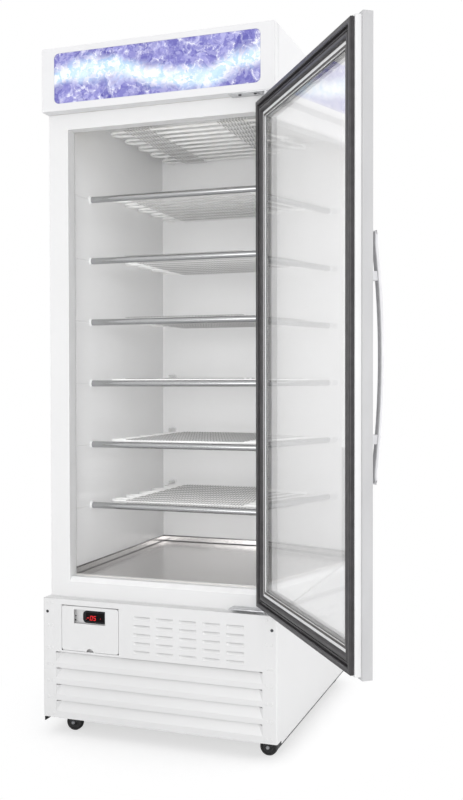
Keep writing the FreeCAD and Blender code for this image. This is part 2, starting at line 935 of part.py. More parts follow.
def machine_pipes():
    """Suction and discharge lines of the compressor, and the liquid line off the condenser."""
    line_x, line_y = liquid_line_place()
    suction_x, suction_y = suction_line_place()
    (suction_side, suction_z), (discharge_side, discharge_z) = compressor_stubs()
    suction_stub = compressor_stub_end(suction_side)
    discharge_stub = compressor_stub_end(discharge_side)
    bank_y = front + condenser_setback + condenser_depth / 2.0
    bank_left = condenser_middle_x - (condenser_width + fin_thickness) / 2.0
    bank_right = condenser_middle_x + (condenser_width + fin_thickness) / 2.0
    riser_x = bank_left - pipe_standoff
    outlet_z = deck_top + condenser_height - condenser_outlet_drop
    return [
        [vec(suction_x, suction_y, base_top), vec(suction_x, suction_y, suction_z),
         vec(suction_x, compressor_y, suction_z), vec(suction_stub, compressor_y, suction_z)],
        [vec(discharge_stub, compressor_y, discharge_z), vec(riser_x, compressor_y, discharge_z),
         vec(riser_x, bank_y, discharge_z), vec(bank_left, bank_y, discharge_z)],
        [vec(bank_right, bank_y, outlet_z), vec(line_x, bank_y, outlet_z),
         vec(line_x, compressor_y + compressor_radius, outlet_z + riser_bend),
         vec(line_x, line_y, outlet_z + riser_shift), vec(line_x, line_y, base_top)],
    ]


def refrigerant_pipes():
    return [bent_tube(points, pipe_radius, tube_sides) for points in cabinet_pipes() + machine_pipes()]


# ================================================================ door
def hinge_brackets():
    """Two pivot plates with collar and pin: one stands on the base, one hangs under the canopy."""
    x1 = hinge_x + bracket_side
    x0 = x1 - bracket_length
    plate_z = base_top + bracket_height
    flange = box(x0, x1, face - bracket_plate, face, base_top, plate_z - bracket_plate)
    plate = box(x0, x1, front, face, plate_z - bracket_plate, plate_z)
    pivots = []
    for seat, stop, tip in (
        (plate_z, door_low - parting, door_low + bore_depth - parting),
        (canopy_foot - bracket_plate, door_high + parting, door_high - bore_depth + parting),
    ):
        foot = vec(hinge_x, hinge_y, seat)
        collar = bent_tube([foot, vec(hinge_x, hinge_y, stop)], collar_reach, collar_sides)
        pivots.append(collar.fuse(rod(hinge_pin_radius, foot, vec(hinge_x, hinge_y, tip))))
    lower = flange.fuse([plate, pivots[0]]).removeSplitter()
    top_plate = box(x0, x1, front, face, canopy_foot - bracket_plate, canopy_foot)
    upper = top_plate.fuse(pivots[1]).removeSplitter()
    return [lower, upper]


def door_bores():
    reach = hinge_pin_radius + running_clearance
    low = rod(reach, vec(hinge_x, hinge_y, door_low), vec(hinge_x, hinge_y, door_low + bore_depth))
    high = rod(reach, vec(hinge_x, hinge_y, door_high - bore_depth), vec(hinge_x, hinge_y, door_high))
    return Part.makeCompound([low, high])


def door_frame():
    """Outer door frame with a front lip that holds the glass."""
    profile = [
        (0.0, tier_step),
        (0.0, door_front),
        (door_face_width, door_front),
        (door_face_width, door_front + front_lip),
        (door_face_width - rabbet, door_front + front_lip),
        (door_face_width - rabbet, tier_step),
    ]
    ring = mitred_ring(-door_half, door_half, door_low, door_high, profile)
    return ring.cut(door_bores())


def door_inner_frame():
    """White inner frame that closes on the glass and carries the gasket."""
    glass_back = door_front + front_lip + 2.0 * pane + pane_gap
    profile = [
        (inner_tier_inset, tier_step),
        (inner_tier_inset, gasket_base),
        (door_face_width, gasket_base),
        (door_face_width, glass_back),
        (door_face_width - rabbet, glass_back),
        (door_face_width - rabbet, tier_step),
    ]
    return mitred_ring(-door_half, door_half, door_low, door_high, profile)


def door_gasket():
    """Magnetic gasket: a bulb along the outside, a groove and a flat wing."""
    groove_start = gasket_inset + gasket_bulb + gasket_round
    groove_end = groove_start + gasket_groove
    end = gasket_inset + gasket_width
    profile = [
        (gasket_inset, gasket_base),
        (gasket_inset, gasket_base + gasket_shoulder),
        (gasket_inset + gasket_round, gasket_back),
        (gasket_inset + gasket_bulb, gasket_back),
        (groove_start, gasket_base + gasket_floor),
        (groove_end, gasket_base + gasket_floor),
        (groove_end + gasket_round, gasket_base + gasket_wing),
        (end - gasket_edge, gasket_base + gasket_wing),
        (end, gasket_base + gasket_floor),
        (end, gasket_base),
    ]
    return mitred_ring(-door_half, door_half, door_low, door_high, profile)


def glass_pane(y0):
    inset = door_face_width - rabbet
    return box(-door_half + inset, door_half - inset, y0, y0 + pane, door_low + inset, door_high - inset)


def glass_spacer():
    """Hollow aluminium spacer between the two panes."""
    inset = door_face_width - rabbet
    y0 = door_front + front_lip + pane
    profile = [
        (inset + spacer_width, y0),
        (inset + spacer_width, y0 + pane_gap),
        (inset + 2.0 * spacer_width, y0 + pane_gap),
        (inset + 2.0 * spacer_width, y0),
    ]
    return mitred_ring(-door_half, door_half, door_low, door_high, profile)


def handle_bar():
    """Long bowed bar; its ends lie parallel to the door."""
    near = door_front - handle_standoff
    low = handle_middle_z - handle_length / 2.0
    high = handle_middle_z + handle_length / 2.0
    x0 = -door_half + handle_inset - handle_width / 2.0

    def side(y, bow):
        return [
            vec(x0, y, low),
            vec(x0, y, low + handle_pad),
            vec(x0, y - bow, handle_middle_z),
            vec(x0, y, high - handle_pad),
            vec(x0, y, high),
        ]

    inner = side(near, handle_bow)
    outer = side(near - handle_thickness, handle_bow)
    edges = [
        Part.LineSegment(inner[0], inner[1]).toShape(),
        Part.Arc(inner[1], inner[2], inner[3]).toShape(),
        Part.LineSegment(inner[3], inner[4]).toShape(),
        Part.LineSegment(inner[4], outer[4]).toShape(),
        Part.LineSegment(outer[4], outer[3]).toShape(),
        Part.Arc(outer[3], outer[2], outer[1]).toShape(),
        Part.LineSegment(outer[1], outer[0]).toShape(),
        Part.LineSegment(outer[0], inner[0]).toShape(),
    ]
    return Part.Face(Part.Wire(edges)).extrude(vec(handle_width, 0, 0))


def handle_rise(offset):
    """How far the bar bows out at a distance from its middle."""
    chord = handle_length / 2.0 - handle_pad
    radius = (chord ** 2 + handle_bow ** 2) / (2.0 * handle_bow)
    return math.sqrt(radius ** 2 - offset ** 2) - radius + handle_bow


def handle_posts():
    """Two cast blocks between the door and the bar, hollowed to the bow of the bar."""
    x = -door_half + handle_inset
    offset = handle_length / 2.0 - handle_post_inset
    reach = handle_standoff + handle_rise(offset) + handle_thickness / 2.0
    bar = handle_bar()
    posts = []
    for side in (-1, 1):
        z = handle_middle_z + side * offset
        block = box(x - handle_post_width / 2.0, x + handle_post_width / 2.0, door_front - reach, door_front,
                    z - handle_post_length / 2.0, z + handle_post_length / 2.0)
        posts.append(block.cut(bar))
    return posts


# ================================================================ controls
def flap_pivot():
    """Y and Z of the flap's pivot line, just inside its top edge."""
    return front + flap_pivot_setback, flap_head - flap_pivot_drop


def control_flap():
    """Hinged cover with a window over the display and a finger notch."""
    plate = rounded_plate(flap_left, flap_right, flap_foot, flap_head, flap_radius,
                          front, front + flap_thickness)
    window = box(flap_window_left, flap_window_right, front - sheet, front + 2.0 * flap_thickness,
                 flap_window_foot, flap_window_head)
    middle = (flap_left + flap_right) / 2.0
    notch = rod(notch_radius, vec(middle, front - sheet, flap_foot - notch_drop),
                vec(middle, front + 2.0 * flap_thickness, flap_foot - notch_drop))
    pivot_y, pivot_z = flap_pivot()
    pieces = []
    for edge, side in ((flap_left, 1), (flap_right, -1)):
        near = edge + side * flap_radius
        far = near + side * flap_lug
        pieces.append(box(min(near, far), max(near, far), front + flap_thickness, pivot_y + flap_lug,
                          pivot_z - flap_lug, pivot_z + flap_lug))
        pieces.append(rod(flap_pivot_radius, vec(far, pivot_y, pivot_z),
                          vec(edge - side * (flap_gap + sheet), pivot_y, pivot_z)))
    blank = box(flap_left, flap_right, front, front + flap_thickness, flap_foot, flap_head)
    lugs = [piece.cut(blank) for piece in pieces]
    return plate.cut(window).cut(notch).fuse(lugs).removeSplitter()


def controller_case():
    """Moulded controller behind the flap, on the plate that also carries the keys."""
    bezel_y = front + case_setback
    plate_y = front + plate_setback
    low = case_middle_z - case_height / 2.0
    high = case_middle_z + case_height / 2.0
    left = case_right - case_width
    bezel = box(left, case_right, bezel_y, plate_y, low, high)
    ends = [e for e in bezel.Edges if abs(e.tangentAt(e.FirstParameter).y) > 0.5]
    bezel = bezel.makeFillet(bezel_radius, ends)
    body = box(left + bezel_depth, case_right - bezel_depth, plate_y, plate_y + case_depth,
               low + bezel_depth, high - bezel_depth)
    lens_x = left + (case_width - lens_width) / 2.0
    recess = box(lens_x, lens_x + lens_width, bezel_y, bezel_y + lens_depth,
                 case_middle_z - lens_height / 2.0, case_middle_z + lens_height / 2.0)
    return bezel.fuse(body).removeSplitter().cut(recess)


def display_lens():
    left = case_right - case_width + (case_width - lens_width) / 2.0
    y = front + case_setback
    return box(left, left + lens_width, y, y + lens_depth,
               case_middle_z - lens_height / 2.0, case_middle_z + lens_height / 2.0)


def key_places():
    middle = case_right - case_width / 2.0
    start = middle - key_pitch * (key_count - 1) / 2.0
    return [start + i * key_pitch for i in range(key_count)]


def control_plate():
    """Folded plate behind the flap that holds the controller and the keys."""
    y0 = front + plate_setback
    plate = box(flap_left - flap_gap, flap_right + flap_gap, y0, y0 + sheet, flap_foot - flap_gap,
                case_middle_z + case_height)
    left = case_right - case_width
    rise = case_height / 2.0 - bezel_depth
    openings = [box(left + bezel_depth, case_right - bezel_depth, y0, y0 + sheet,
                    case_middle_z - rise, case_middle_z + rise)]
    reach = key_stem / 2.0 + parting
    for x in key_places():
        openings.append(box(x - reach, x + reach, y0, y0 + sheet, key_z - reach, key_z + reach))
    foot = box(flap_left - flap_gap, flap_right + flap_gap, front + sheet, y0 + sheet,
               flap_foot - flap_gap - sheet, flap_foot - flap_gap)
    return plate.cut(Part.makeCompound(openings)).fuse(foot).removeSplitter()


def key(x):
    """Push key with a stem that slides through the plate."""
    plate_y = front + plate_setback
    cap_back = plate_y - key_lift
    cap = box(x - key_width / 2.0, x + key_width / 2.0, cap_back - key_cap, cap_back,
              key_z - key_height / 2.0, key_z + key_height / 2.0)
    stem = box(x - key_stem / 2.0, x + key_stem / 2.0, cap_back, plate_y + sheet + key_stem_length,
               key_z - key_stem / 2.0, key_z + key_stem / 2.0)
    return cap.fuse(stem)


# ================================================================ casters
def caster_places():
    """Front pair first; the front casters swivel and carry the brakes, the rear ones are fixed."""
    return [(side * caster_x, y) for y in (caster_front_y, caster_rear_y) for side in (-1, 1)]


caster_plate_low = deck_underside - deck_thickness
crown_high = caster_plate_low - parting - race_height
crown_low = crown_high - crown_thickness
leg_inside = wheel_width / 2.0 + fork_gap
leg_outside = leg_inside + fork_leg


def caster_plate(x, y):
    return box(x - caster_plate_width / 2.0, x + caster_plate_width / 2.0,
               y - caster_plate_depth / 2.0, y + caster_plate_depth / 2.0, caster_plate_low, deck_underside)


def swivel_plate(x, y):
    """Bolted plate with the kingpin and its nut."""
    nut_high = crown_low - parting
    pin = rod(kingpin_radius, vec(x, y, nut_high), vec(x, y, caster_plate_low))
    nut = bent_tube([vec(x, y, nut_high - kingpin_nut_height), vec(x, y, nut_high)], kingpin_nut, tube_sides)
    return caster_plate(x, y).fuse([pin, nut])


def fork_legs(x, y, high):
    """Two pressed legs and the axle between them."""
    axle_x = x + caster_trail
    outline = [
        (x - race_reach, high),
        (x - race_reach, crown_low),
        (axle_x - fork_eye, wheel_radius),
        (axle_x - fork_eye / 2.0, wheel_radius - fork_eye),
        (axle_x + fork_eye / 2.0, wheel_radius - fork_eye),
        (axle_x + fork_eye, wheel_radius),
        (axle_x + fork_eye, high),
    ]
    legs = [prism_y(outline, y - leg_outside, y - leg_inside),
            prism_y(outline, y + leg_inside, y + leg_outside)]
    axle = rod(axle_radius, vec(axle_x, y - leg_inside, wheel_radius),
               vec(axle_x, y + leg_inside, wheel_radius))
    return legs + [axle]


def pedal_pivot(x):
    return x + caster_trail + pedal_pivot_trail, wheel_radius + pedal_pivot_rise


def caster_fork(x, y):
    """Swivelling fork with its bearing race, the axle and the ears of the brake."""
    axle_x = x + caster_trail
    crown = box(x - race_reach, axle_x + fork_eye, y - leg_outside, y + leg_outside,
                crown_low, crown_high)
    race = bent_tube([vec(x, y, crown_high), vec(x, y, caster_plate_low - parting)],
                     race_reach, collar_sides)
    pivot_x, pivot_z = pedal_pivot(x)
    ear = [
        (axle_x + fork_eye, crown_low),
        (axle_x + fork_eye, wheel_radius),
        (pivot_x + pedal_eye, pivot_z - pedal_eye),
        (pivot_x + pedal_eye, pivot_z + pedal_pivot_radius),
    ]
    parts = fork_legs(x, y, crown_high) + [race]
    parts.append(prism_y(ear, y - leg_outside, y - leg_inside))
    parts.append(prism_y(ear, y + leg_inside, y + leg_outside))
    parts.append(rod(pedal_pivot_radius, vec(pivot_x, y - leg_inside, pivot_z),
                     vec(pivot_x, y + leg_inside, pivot_z)))
    bore = rod(kingpin_radius + running_clearance, vec(x, y, crown_low), vec(x, y, caster_plate_low))
    return crown.fuse(parts).removeSplitter().cut(bore)


def fixed_caster(x, y):
    """Plate and fork of a rear caster, pressed from one blank."""
    return caster_plate(x, y).fuse(fork_legs(x, y, caster_plate_low)).removeSplitter()


def caster_wheel(x, y):
    """Solid wheel with a tread of fine flats and a round bore."""
    axle_x = x + caster_trail
    step = 2.0 * math.pi / wheel_flats
    corner = wheel_radius / math.cos(step / 2.0)
    outline = []
    for i in range(wheel_flats):
        angle = (i + 0.5) * step
        outline.append((axle_x + corner * math.sin(angle), wheel_radius - corner * math.cos(angle)))
    near = y - wheel_width / 2.0
    far = y + wheel_width / 2.0
    bore = rod(axle_radius + running_clearance,
               vec(axle_x, near, wheel_radius), vec(axle_x, far, wheel_radius))
    return prism_y(outline, near, far).cut(bore)


def brake_pedal(x, y):
    """Toe lever whose heel comes down on the tread."""
    pivot_x, pivot_z = pedal_pivot(x)
    t = pedal_thickness
    eye = pedal_eye
    outline = [
        (pivot_x - eye, pivot_z - eye + t / 2.0),
        (pivot_x, pivot_z - eye),
        (pivot_x + eye, pivot_z - eye),
        (pivot_x + pedal_reach, pivot_z - pedal_drop),
        (pivot_x + pedal_reach, pivot_z - pedal_drop + t),
        (pivot_x + eye, pivot_z + eye / 2.0),
        (pivot_x, pivot_z + eye),
        (pivot_x - eye, pivot_z + eye / 2.0),
    ]
    lever = prism_y(outline, y - pedal_width / 2.0, y + pedal_width / 2.0)
    bore = rod(pedal_pivot_radius + running_clearance, vec(pivot_x, y - pedal_width / 2.0, pivot_z),
               vec(pivot_x, y + pedal_width / 2.0, pivot_z))
    return lever.cut(bore)


# ================================================================ write every piece
save("chassis_frame", [chassis_frame()])
save("front_posts", front_posts())
save("louvre_panel", [louvre_panel()])
save("slat_grille", [slat_grille()])
save("side_skirts", side_skirts())
save("rear_cover", [rear_cover()])
save("condenser", [condenser()])
save("fan_shroud", [fan_shroud()])
save("fan_motor", [fan_motor()])
save("fan_rotor", [fan_rotor()])
save("compressor", compressor())
save("drain_pan", [drain_pan()])
save("outer_shell", [outer_shell()])
save("foam_core", [foam_core()])
save("inner_liner", [inner_liner()])
save("face_frame", face_frame())
save("breaker_strip", [breaker_strip()])
save("floor_pan", [floor_pan()])
save("canopy_housing", [canopy_housing()])
save("sign_panel", [sign_panel()])
save("lamp_tube", [lamp_tube()])
save("lamp_holders", lamp_holders())
save("shelf_rails", shelf_rails())
save("wall_fittings", wall_fittings())
save("refrigerant_pipes", refrigerant_pipes())
for number, height in enumerate(coil_heights(), 1):
    save("evaporator_%d" % number, evaporator(height, number > shelf_count))
save("hinge_brackets", hinge_brackets())
save("door_frame", [opened(door_frame())])
save("door_inner_frame", [opened(door_inner_frame())])
save("door_gasket", [opened(door_gasket())])
save("glass_outer", [opened(glass_pane(door_front + front_lip))])
save("glass_inner", [opened(glass_pane(door_front + front_lip + pane + pane_gap))])
save("glass_spacer", [opened(glass_spacer())])
save("handle_bar", [opened(handle_bar())])
save("handle_posts", [opened(post) for post in handle_posts()])
save("control_flap", [control_flap()])
save("controller_case", [controller_case()])
save("control_plate", [control_plate()])
save("display_lens", [display_lens()])
for number, place in enumerate(key_places(), 1):
    save("key_%d" % number, [key(place)])
save("caster_plates", [swivel_plate(x, y) for x, y in caster_places() if y < 0])
save("fixed_casters", [fixed_caster(x, y) for x, y in caster_places() if y > 0])
for number, (x, y) in enumerate(caster_places(), 1):
    save("caster_wheel_%d" % number, [caster_wheel(x, y)])
    if y < 0:
        save("caster_fork_%d" % number, [caster_fork(x, y)])
        save("brake_pedal_%d" % number, [brake_pedal(x, y)])
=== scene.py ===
import json
import math

import bmesh
import bpy
from mathutils import Matrix, Vector


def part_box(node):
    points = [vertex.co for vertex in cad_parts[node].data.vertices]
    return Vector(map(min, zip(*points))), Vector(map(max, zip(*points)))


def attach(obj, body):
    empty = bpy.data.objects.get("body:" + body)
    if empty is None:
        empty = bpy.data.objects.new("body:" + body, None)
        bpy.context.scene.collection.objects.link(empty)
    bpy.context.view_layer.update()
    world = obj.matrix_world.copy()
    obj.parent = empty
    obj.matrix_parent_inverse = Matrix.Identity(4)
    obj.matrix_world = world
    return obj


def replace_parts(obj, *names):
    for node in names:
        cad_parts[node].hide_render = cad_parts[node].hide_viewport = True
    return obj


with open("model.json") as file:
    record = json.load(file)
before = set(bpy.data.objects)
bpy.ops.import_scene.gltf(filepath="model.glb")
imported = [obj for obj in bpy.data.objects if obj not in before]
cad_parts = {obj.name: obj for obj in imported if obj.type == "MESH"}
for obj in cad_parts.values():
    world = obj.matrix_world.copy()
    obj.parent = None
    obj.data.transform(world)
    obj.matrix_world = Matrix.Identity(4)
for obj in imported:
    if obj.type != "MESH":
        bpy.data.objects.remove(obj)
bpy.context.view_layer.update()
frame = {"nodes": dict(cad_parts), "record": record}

scene = bpy.context.scene

# ------------------------------------------------------------------ viewpoint
# The freezer was taken from the right of its front, at about chest height, with a short
# lens held almost level. The camera stands 1.14 m to the side and 2.6 m before the face.
eye = Vector((1.14435, -2.95492, 1.03815))
turn, tilt, roll = math.radians(19.69), math.radians(-1.14), math.radians(0.10)
picture_height = 800.0
focal_pixels = 993.98

camera_data = bpy.data.cameras.new("camera")
camera_data.sensor_fit = "VERTICAL"
camera_data.sensor_height = 24.0
camera_data.lens = camera_data.sensor_height * focal_pixels / picture_height
camera = bpy.data.objects.new("camera", camera_data)
camera.matrix_world = (
    Matrix.Translation(eye)
    @ Matrix.Rotation(turn, 4, "Z")
    @ Matrix.Rotation(math.pi / 2 + tilt, 4, "X")
    @ Matrix.Rotation(-roll, 4, "Z")
)
scene.collection.objects.link(camera)
scene.camera = camera

# ------------------------------------------------------------------ studio
# A white sweep under broad soft lamps. What the camera and mirrors see of it is plain
# white, and the floor keeps only the soft shadow round the casters.
scene.view_settings.view_transform = "Standard"


def linear(colour):
    channels = [int(colour[i:i + 2], 16) / 255.0 for i in (1, 3, 5)]
    return [c / 12.92 if c <= 0.04045 else ((c + 0.055) / 1.055) ** 2.4 for c in channels] + [1.0]


def maths(tree, operation, *values):
    """A math node fed with outputs or plain numbers."""
    node = tree.nodes.new("ShaderNodeMath")
    node.operation = operation
    for socket, value in zip(node.inputs, values):
        if isinstance(value, bpy.types.NodeSocket):
            tree.links.new(value, socket)
        else:
            socket.default_value = value
    return node.outputs[0]


def mixed(tree, factor, first, second):
    node = tree.nodes.new("ShaderNodeMixShader")
    for socket, output in zip(node.inputs, (factor, first, second)):
        tree.links.new(output, socket)
    return node.outputs[0]


def ranged(tree, value, start, end, low=0.0, high=1.0, kind="SMOOTHSTEP"):
    """Carry a value from one range over to another."""
    node = tree.nodes.new("ShaderNodeMapRange")
    node.interpolation_type = kind
    for socket, number in zip(("From Min", "From Max", "To Min", "To Max"), (start, end, low, high)):
        node.inputs[socket].default_value = number
    tree.links.new(value, node.inputs["Value"])
    return node.outputs["Result"]


world = bpy.data.worlds.new("studio")
world.use_nodes = True
scene.world = world
sky = world.node_tree
ambient = sky.nodes["Background"]
ambient.inputs["Color"].default_value = linear("#F9F9FA")
ambient.inputs["Strength"].default_value = 0.86
white = sky.nodes.new("ShaderNodeBackground")
white.inputs["Color"].default_value = (1.0, 1.0, 1.0, 1.0)
rays = sky.nodes.new("ShaderNodeLightPath")
direct = maths(sky, "MAXIMUM", rays.outputs["Is Camera Ray"], rays.outputs["Is Transmission Ray"])
mirrored = maths(sky, "MAXIMUM", direct, rays.outputs["Is Glossy Ray"])
tent = mixed(sky, mirrored, ambient.outputs[0], white.outputs[0])
sky.links.new(tent, sky.nodes["World Output"].inputs["Surface"])


def lamp(name, place, target, width, height, power):
    data = bpy.data.lights.new(name, "AREA")
    data.shape = "RECTANGLE"
    data.size = width
    data.size_y = height
    data.energy = power
    light = bpy.data.objects.new(name, data)
    light.location = place
    light.rotation_euler = (Vector(target) - Vector(place)).to_track_quat("-Z", "Y").to_euler()
    scene.collection.objects.link(light)
    return light


lamp("key_lamp", (2.3, -4.4, 1.3), (0.0, 0.0, 1.1), 2.2, 2.2, 34.0)
lamp("front_lamp", (-0.4, -5.2, 1.3), (0.0, 0.0, 1.0), 2.6, 2.4, 60.0)
lamp("right_lamp", (5.0, 1.3, 0.45), (0.35, 0.2, 0.15), 4.0, 1.6, 122.0)
cavity_lamp = lamp("cavity_lamp", (0.0, -0.345, 1.115), (0.0, 0.3, 1.115), 0.5, 1.26, 1.5)
cavity_lamp.data.spread = math.radians(140)
cavity_lamp.visible_camera = cavity_lamp.visible_glossy = cavity_lamp.visible_transmission = False

floor_mesh = bpy.data.meshes.new("floor")
floor_half = 12.0
floor_corners = [(x * floor_half, y * floor_half, 0) for x, y in ((-1, -1), (1, -1), (1, 1), (-1, 1))]
floor_mesh.from_pydata(floor_corners, [], [(0, 1, 2, 3)])
floor = bpy.data.objects.new("floor", floor_mesh)
scene.collection.objects.link(floor)

sweep = bpy.data.materials.new("white_sweep")
sweep.use_nodes = True
tree = sweep.node_tree
paper = tree.nodes["Principled BSDF"]
paper.inputs["Base Color"].default_value = linear("#B4B4B4")
paper.inputs["Roughness"].default_value = 0.9
paper.inputs["Specular IOR Level"].default_value = 0.0
glow = tree.nodes.new("ShaderNodeEmission")
glow.inputs["Strength"].default_value = 0.62
both = tree.nodes.new("ShaderNodeAddShader")
tree.links.new(paper.outputs[0], both.inputs[0])
tree.links.new(glow.outputs[0], both.inputs[1])
plain = tree.nodes.new("ShaderNodeBsdfDiffuse")
plain.inputs["Color"].default_value = linear("#E6E6E6")
place = tree.nodes.new("ShaderNodeNewGeometry")
distance = tree.nodes.new("ShaderNodeVectorMath")
distance.operation = "LENGTH"
tree.links.new(place.outputs["Position"], distance.inputs[0])
fade_start, fade_end = 0.46, 0.74
far = ranged(tree, distance.outputs["Value"], fade_start, fade_end)
blank = tree.nodes.new("ShaderNodeEmission")
fade = mixed(tree, far, both.outputs[0], blank.outputs[0])
shown = tree.nodes.new("ShaderNodeLightPath")
choose = mixed(tree, shown.outputs["Is Camera Ray"], plain.outputs[0], fade)
tree.links.new(choose, tree.nodes["Material Output"].inputs["Surface"])
floor_mesh.materials.append(sweep)

# ------------------------------------------------------------------ base frame and deck
# Folded and welded steel, dipped in dark primer before the white panels go on. Only the
# rails under the skirts show.


def tune(material, values):
    """Put even values on the shader's own sockets."""
    for socket, value in values.items():
        material.node_tree.nodes["Principled BSDF"].inputs[socket].default_value = value


def finish(name, colour, roughness, metallic=0.0):
    material = bpy.data.materials.new(name)
    material.use_nodes = True
    tune(material, {"Base Color": linear(colour), "Roughness": roughness, "Metallic": metallic})
    return material


def grain(material, scale, stretch, detail):
    """Noise in metres, stretched along an axis where the process leaves a direction."""
    tree = material.node_tree
    place = tree.nodes.new("ShaderNodeTexCoord")
    mapping = tree.nodes.new("ShaderNodeMapping")
    mapping.inputs["Scale"].default_value = stretch
    noise = tree.nodes.new("ShaderNodeTexNoise")
    noise.inputs["Scale"].default_value = scale
    noise.inputs["Detail"].default_value = detail
    tree.links.new(place.outputs["Object"], mapping.inputs["Vector"])
    tree.links.new(mapping.outputs["Vector"], noise.inputs["Vector"])
    return noise.outputs["Fac"]


def ramp(tree, factor, *stops):
    """Colours or numbers, each at its position along a factor."""
    node = tree.nodes.new("ShaderNodeValToRGB")
    points = node.color_ramp.elements
    while len(points) < len(stops):
        points.new(0.5)
    for point, (position, value) in zip(points, stops):
        point.position = position
        point.color = linear(value) if isinstance(value, str) else (value, value, value, 1.0)
    tree.links.new(factor, node.inputs["Fac"])
    return node.outputs["Color"]


def shade(material, factor, low, high, socket="Base Color"):
    """Let a socket drift between two values with a factor."""
    tree = material.node_tree
    shader = tree.nodes["Principled BSDF"]
    tree.links.new(ramp(tree, factor, (0.3, low), (0.7, high)), shader.inputs[socket])


def vary(material, scale, low, high, stretch=(1, 1, 1), detail=3.0, socket="Base Color"):
    """Let a socket drift between two values with the grain."""
    shade(material, grain(material, scale, stretch, detail), low, high, socket)


def relief(material, scale, depth, strength=0.5, stretch=(1, 1, 1), detail=3.0):
    """Bump of the given depth in metres."""
    tree = material.node_tree
    bump = tree.nodes.new("ShaderNodeBump")
    bump.inputs["Strength"].default_value = strength
    bump.inputs["Distance"].default_value = depth
    tree.links.new(grain(material, scale, stretch, detail), bump.inputs["Height"])
    tree.links.new(bump.outputs["Normal"], tree.nodes["Principled BSDF"].inputs["Normal"])


def dress(material, *names):
    for name in names:
        for slot in frame["nodes"][name].material_slots:
            slot.material = material


def soften(width, *names):
    """The small radius that folding or moulding leaves on every edge."""
    for name in names:
        node = frame["nodes"][name]
        weld = node.modifiers.new("weld", "WELD")
        weld.merge_threshold = 0.00002
        bevel = node.modifiers.new("bevel", "BEVEL")
        bevel.width = width
        bevel.segments = 2
        bevel.limit_method = "ANGLE"
        bevel.angle_limit = math.radians(40)
        bevel.harden_normals = True


primer = finish("dark_primer", "#2A2B2D", 0.55)
vary(primer, 14.0, "#232426", "#35373A")
relief(primer, 700.0, 0.0002)
dress(primer, "chassis_frame")

# ------------------------------------------------------------------ casters
# Black-plated pressed forks on kingpins, with hard black rubber wheels. The front pair has
# a zinc-plated toe lever that comes down on the tread.


def mesh_from(shape, name):
    """Close a shape into a mesh that is smooth up to an angle."""
    bmesh.ops.remove_doubles(shape, verts=shape.verts, dist=0.0000002)
    bmesh.ops.recalc_face_normals(shape, faces=shape.faces)
    mesh = bpy.data.meshes.new(name)
    shape.to_mesh(mesh)
    shape.free()
    mesh.shade_smooth()
    shape = bmesh.new()
    shape.from_mesh(mesh)
    for edge in shape.edges:
        if len(edge.link_faces) == 2 and edge.calc_face_angle() > math.radians(35.0):
            edge.smooth = False
    shape.to_mesh(mesh)
    shape.free()
    return mesh


def piece(name, shape, body, material):
    data = mesh_from(shape, name) if isinstance(shape, bmesh.types.BMesh) else shape
    data.materials.clear()
    data.materials.append(material)
    thing = bpy.data.objects.new(name, data)
    scene.collection.objects.link(thing)
    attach(thing, body)
    return thing


def skinned(shape, rows, ring=False, caps=False):
    """Faces between neighbouring rows of points; a ring's last point meets its first."""
    faces = []
    for near, far in zip(rows, rows[1:]):
        for i in range(len(near) if ring else len(near) - 1):
            k = (i + 1) % len(near)
            faces.append(shape.faces.new((near[i], near[k], far[k], far[i])))
    if caps:
        shape.faces.new(rows[0][::-1])
        shape.faces.new(rows[-1])
    return faces


def turned(shape, profile, place, axis, steps=40):
    """Spin a profile of (radius, distance along) about an axis through a place."""
    along = Vector(axis).normalized()
    across = along.orthogonal().normalized()
    other = along.cross(across)
    rings = []
    for radius, distance in profile:
        ring = []
        for i in range(steps):
            angle = 2 * math.pi * i / steps
            spoke = across * (radius * math.cos(angle)) + other * (radius * math.sin(angle))
            ring.append(shape.verts.new(Vector(place) + along * distance + spoke))
        rings.append(ring)
    skinned(shape, rings, True, profile[0][0] > 0 and profile[0] != profile[-1])


def block(shape, low, high, edge=0.0):
    """A folded or moulded block between two corners, its edges rounded."""
    corners = bmesh.ops.create_cube(shape, size=1.0)["verts"]
    for corner in corners:
        corner.co = [(a + b) / 2 + c * (b - a) for a, b, c in zip(low, high, corner.co)]
    if edge:
        edges = list({e for corner in corners for e in corner.link_edges})
        bmesh.ops.bevel(shape, geom=edges, offset=edge, segments=2, affect="EDGES", profile=0.5)


def screw(shape, place, axis, radius):
    """A pan head with a round recess."""
    head = [(1.0, 0.0), (1.0, 0.25), (0.75, 0.5), (0.4, 0.56), (0.36, 0.3), (0.0, 0.26)]
    turned(shape, [(r * radius, distance * radius) for r, distance in head], place, axis, 20)


rubber = finish("black_rubber", "#1B1B1C", 0.5)
vary(rubber, 60.0, "#161617", "#262627")
relief(rubber, 900.0, 0.0002)
zinc = finish("zinc_plate", "#A9ABAD", 0.34, 1.0)
vary(zinc, 45.0, "#909295", "#BCBEC0")
relief(zinc, 400.0, 0.0001)
black_plate = finish("black_plate", "#202123", 0.42)
vary(black_plate, 60.0, "#1A1B1C", "#2C2D2F")
dress(black_plate, "caster_plates", "fixed_casters", "caster_fork_1", "caster_fork_2")
dress(zinc, "brake_pedal_1", "brake_pedal_2")
soften(0.0008, "caster_fork_1", "caster_fork_2", "brake_pedal_1", "brake_pedal_2", "fixed_casters",
       "caster_plates")
axle_bore, rim_inset, nut_seat = 0.0032, 0.003, 0.003
axle_nut = [(0.0055, 0.0), (0.0055, 0.0022), (0.0047, 0.0028), (0.0032, 0.0028), (0.003, 0.0042),
            (0.0, 0.0045)]
wheel_bodies = ("front_left_wheel", "front_right_wheel", "rear_left_wheel", "rear_right_wheel")
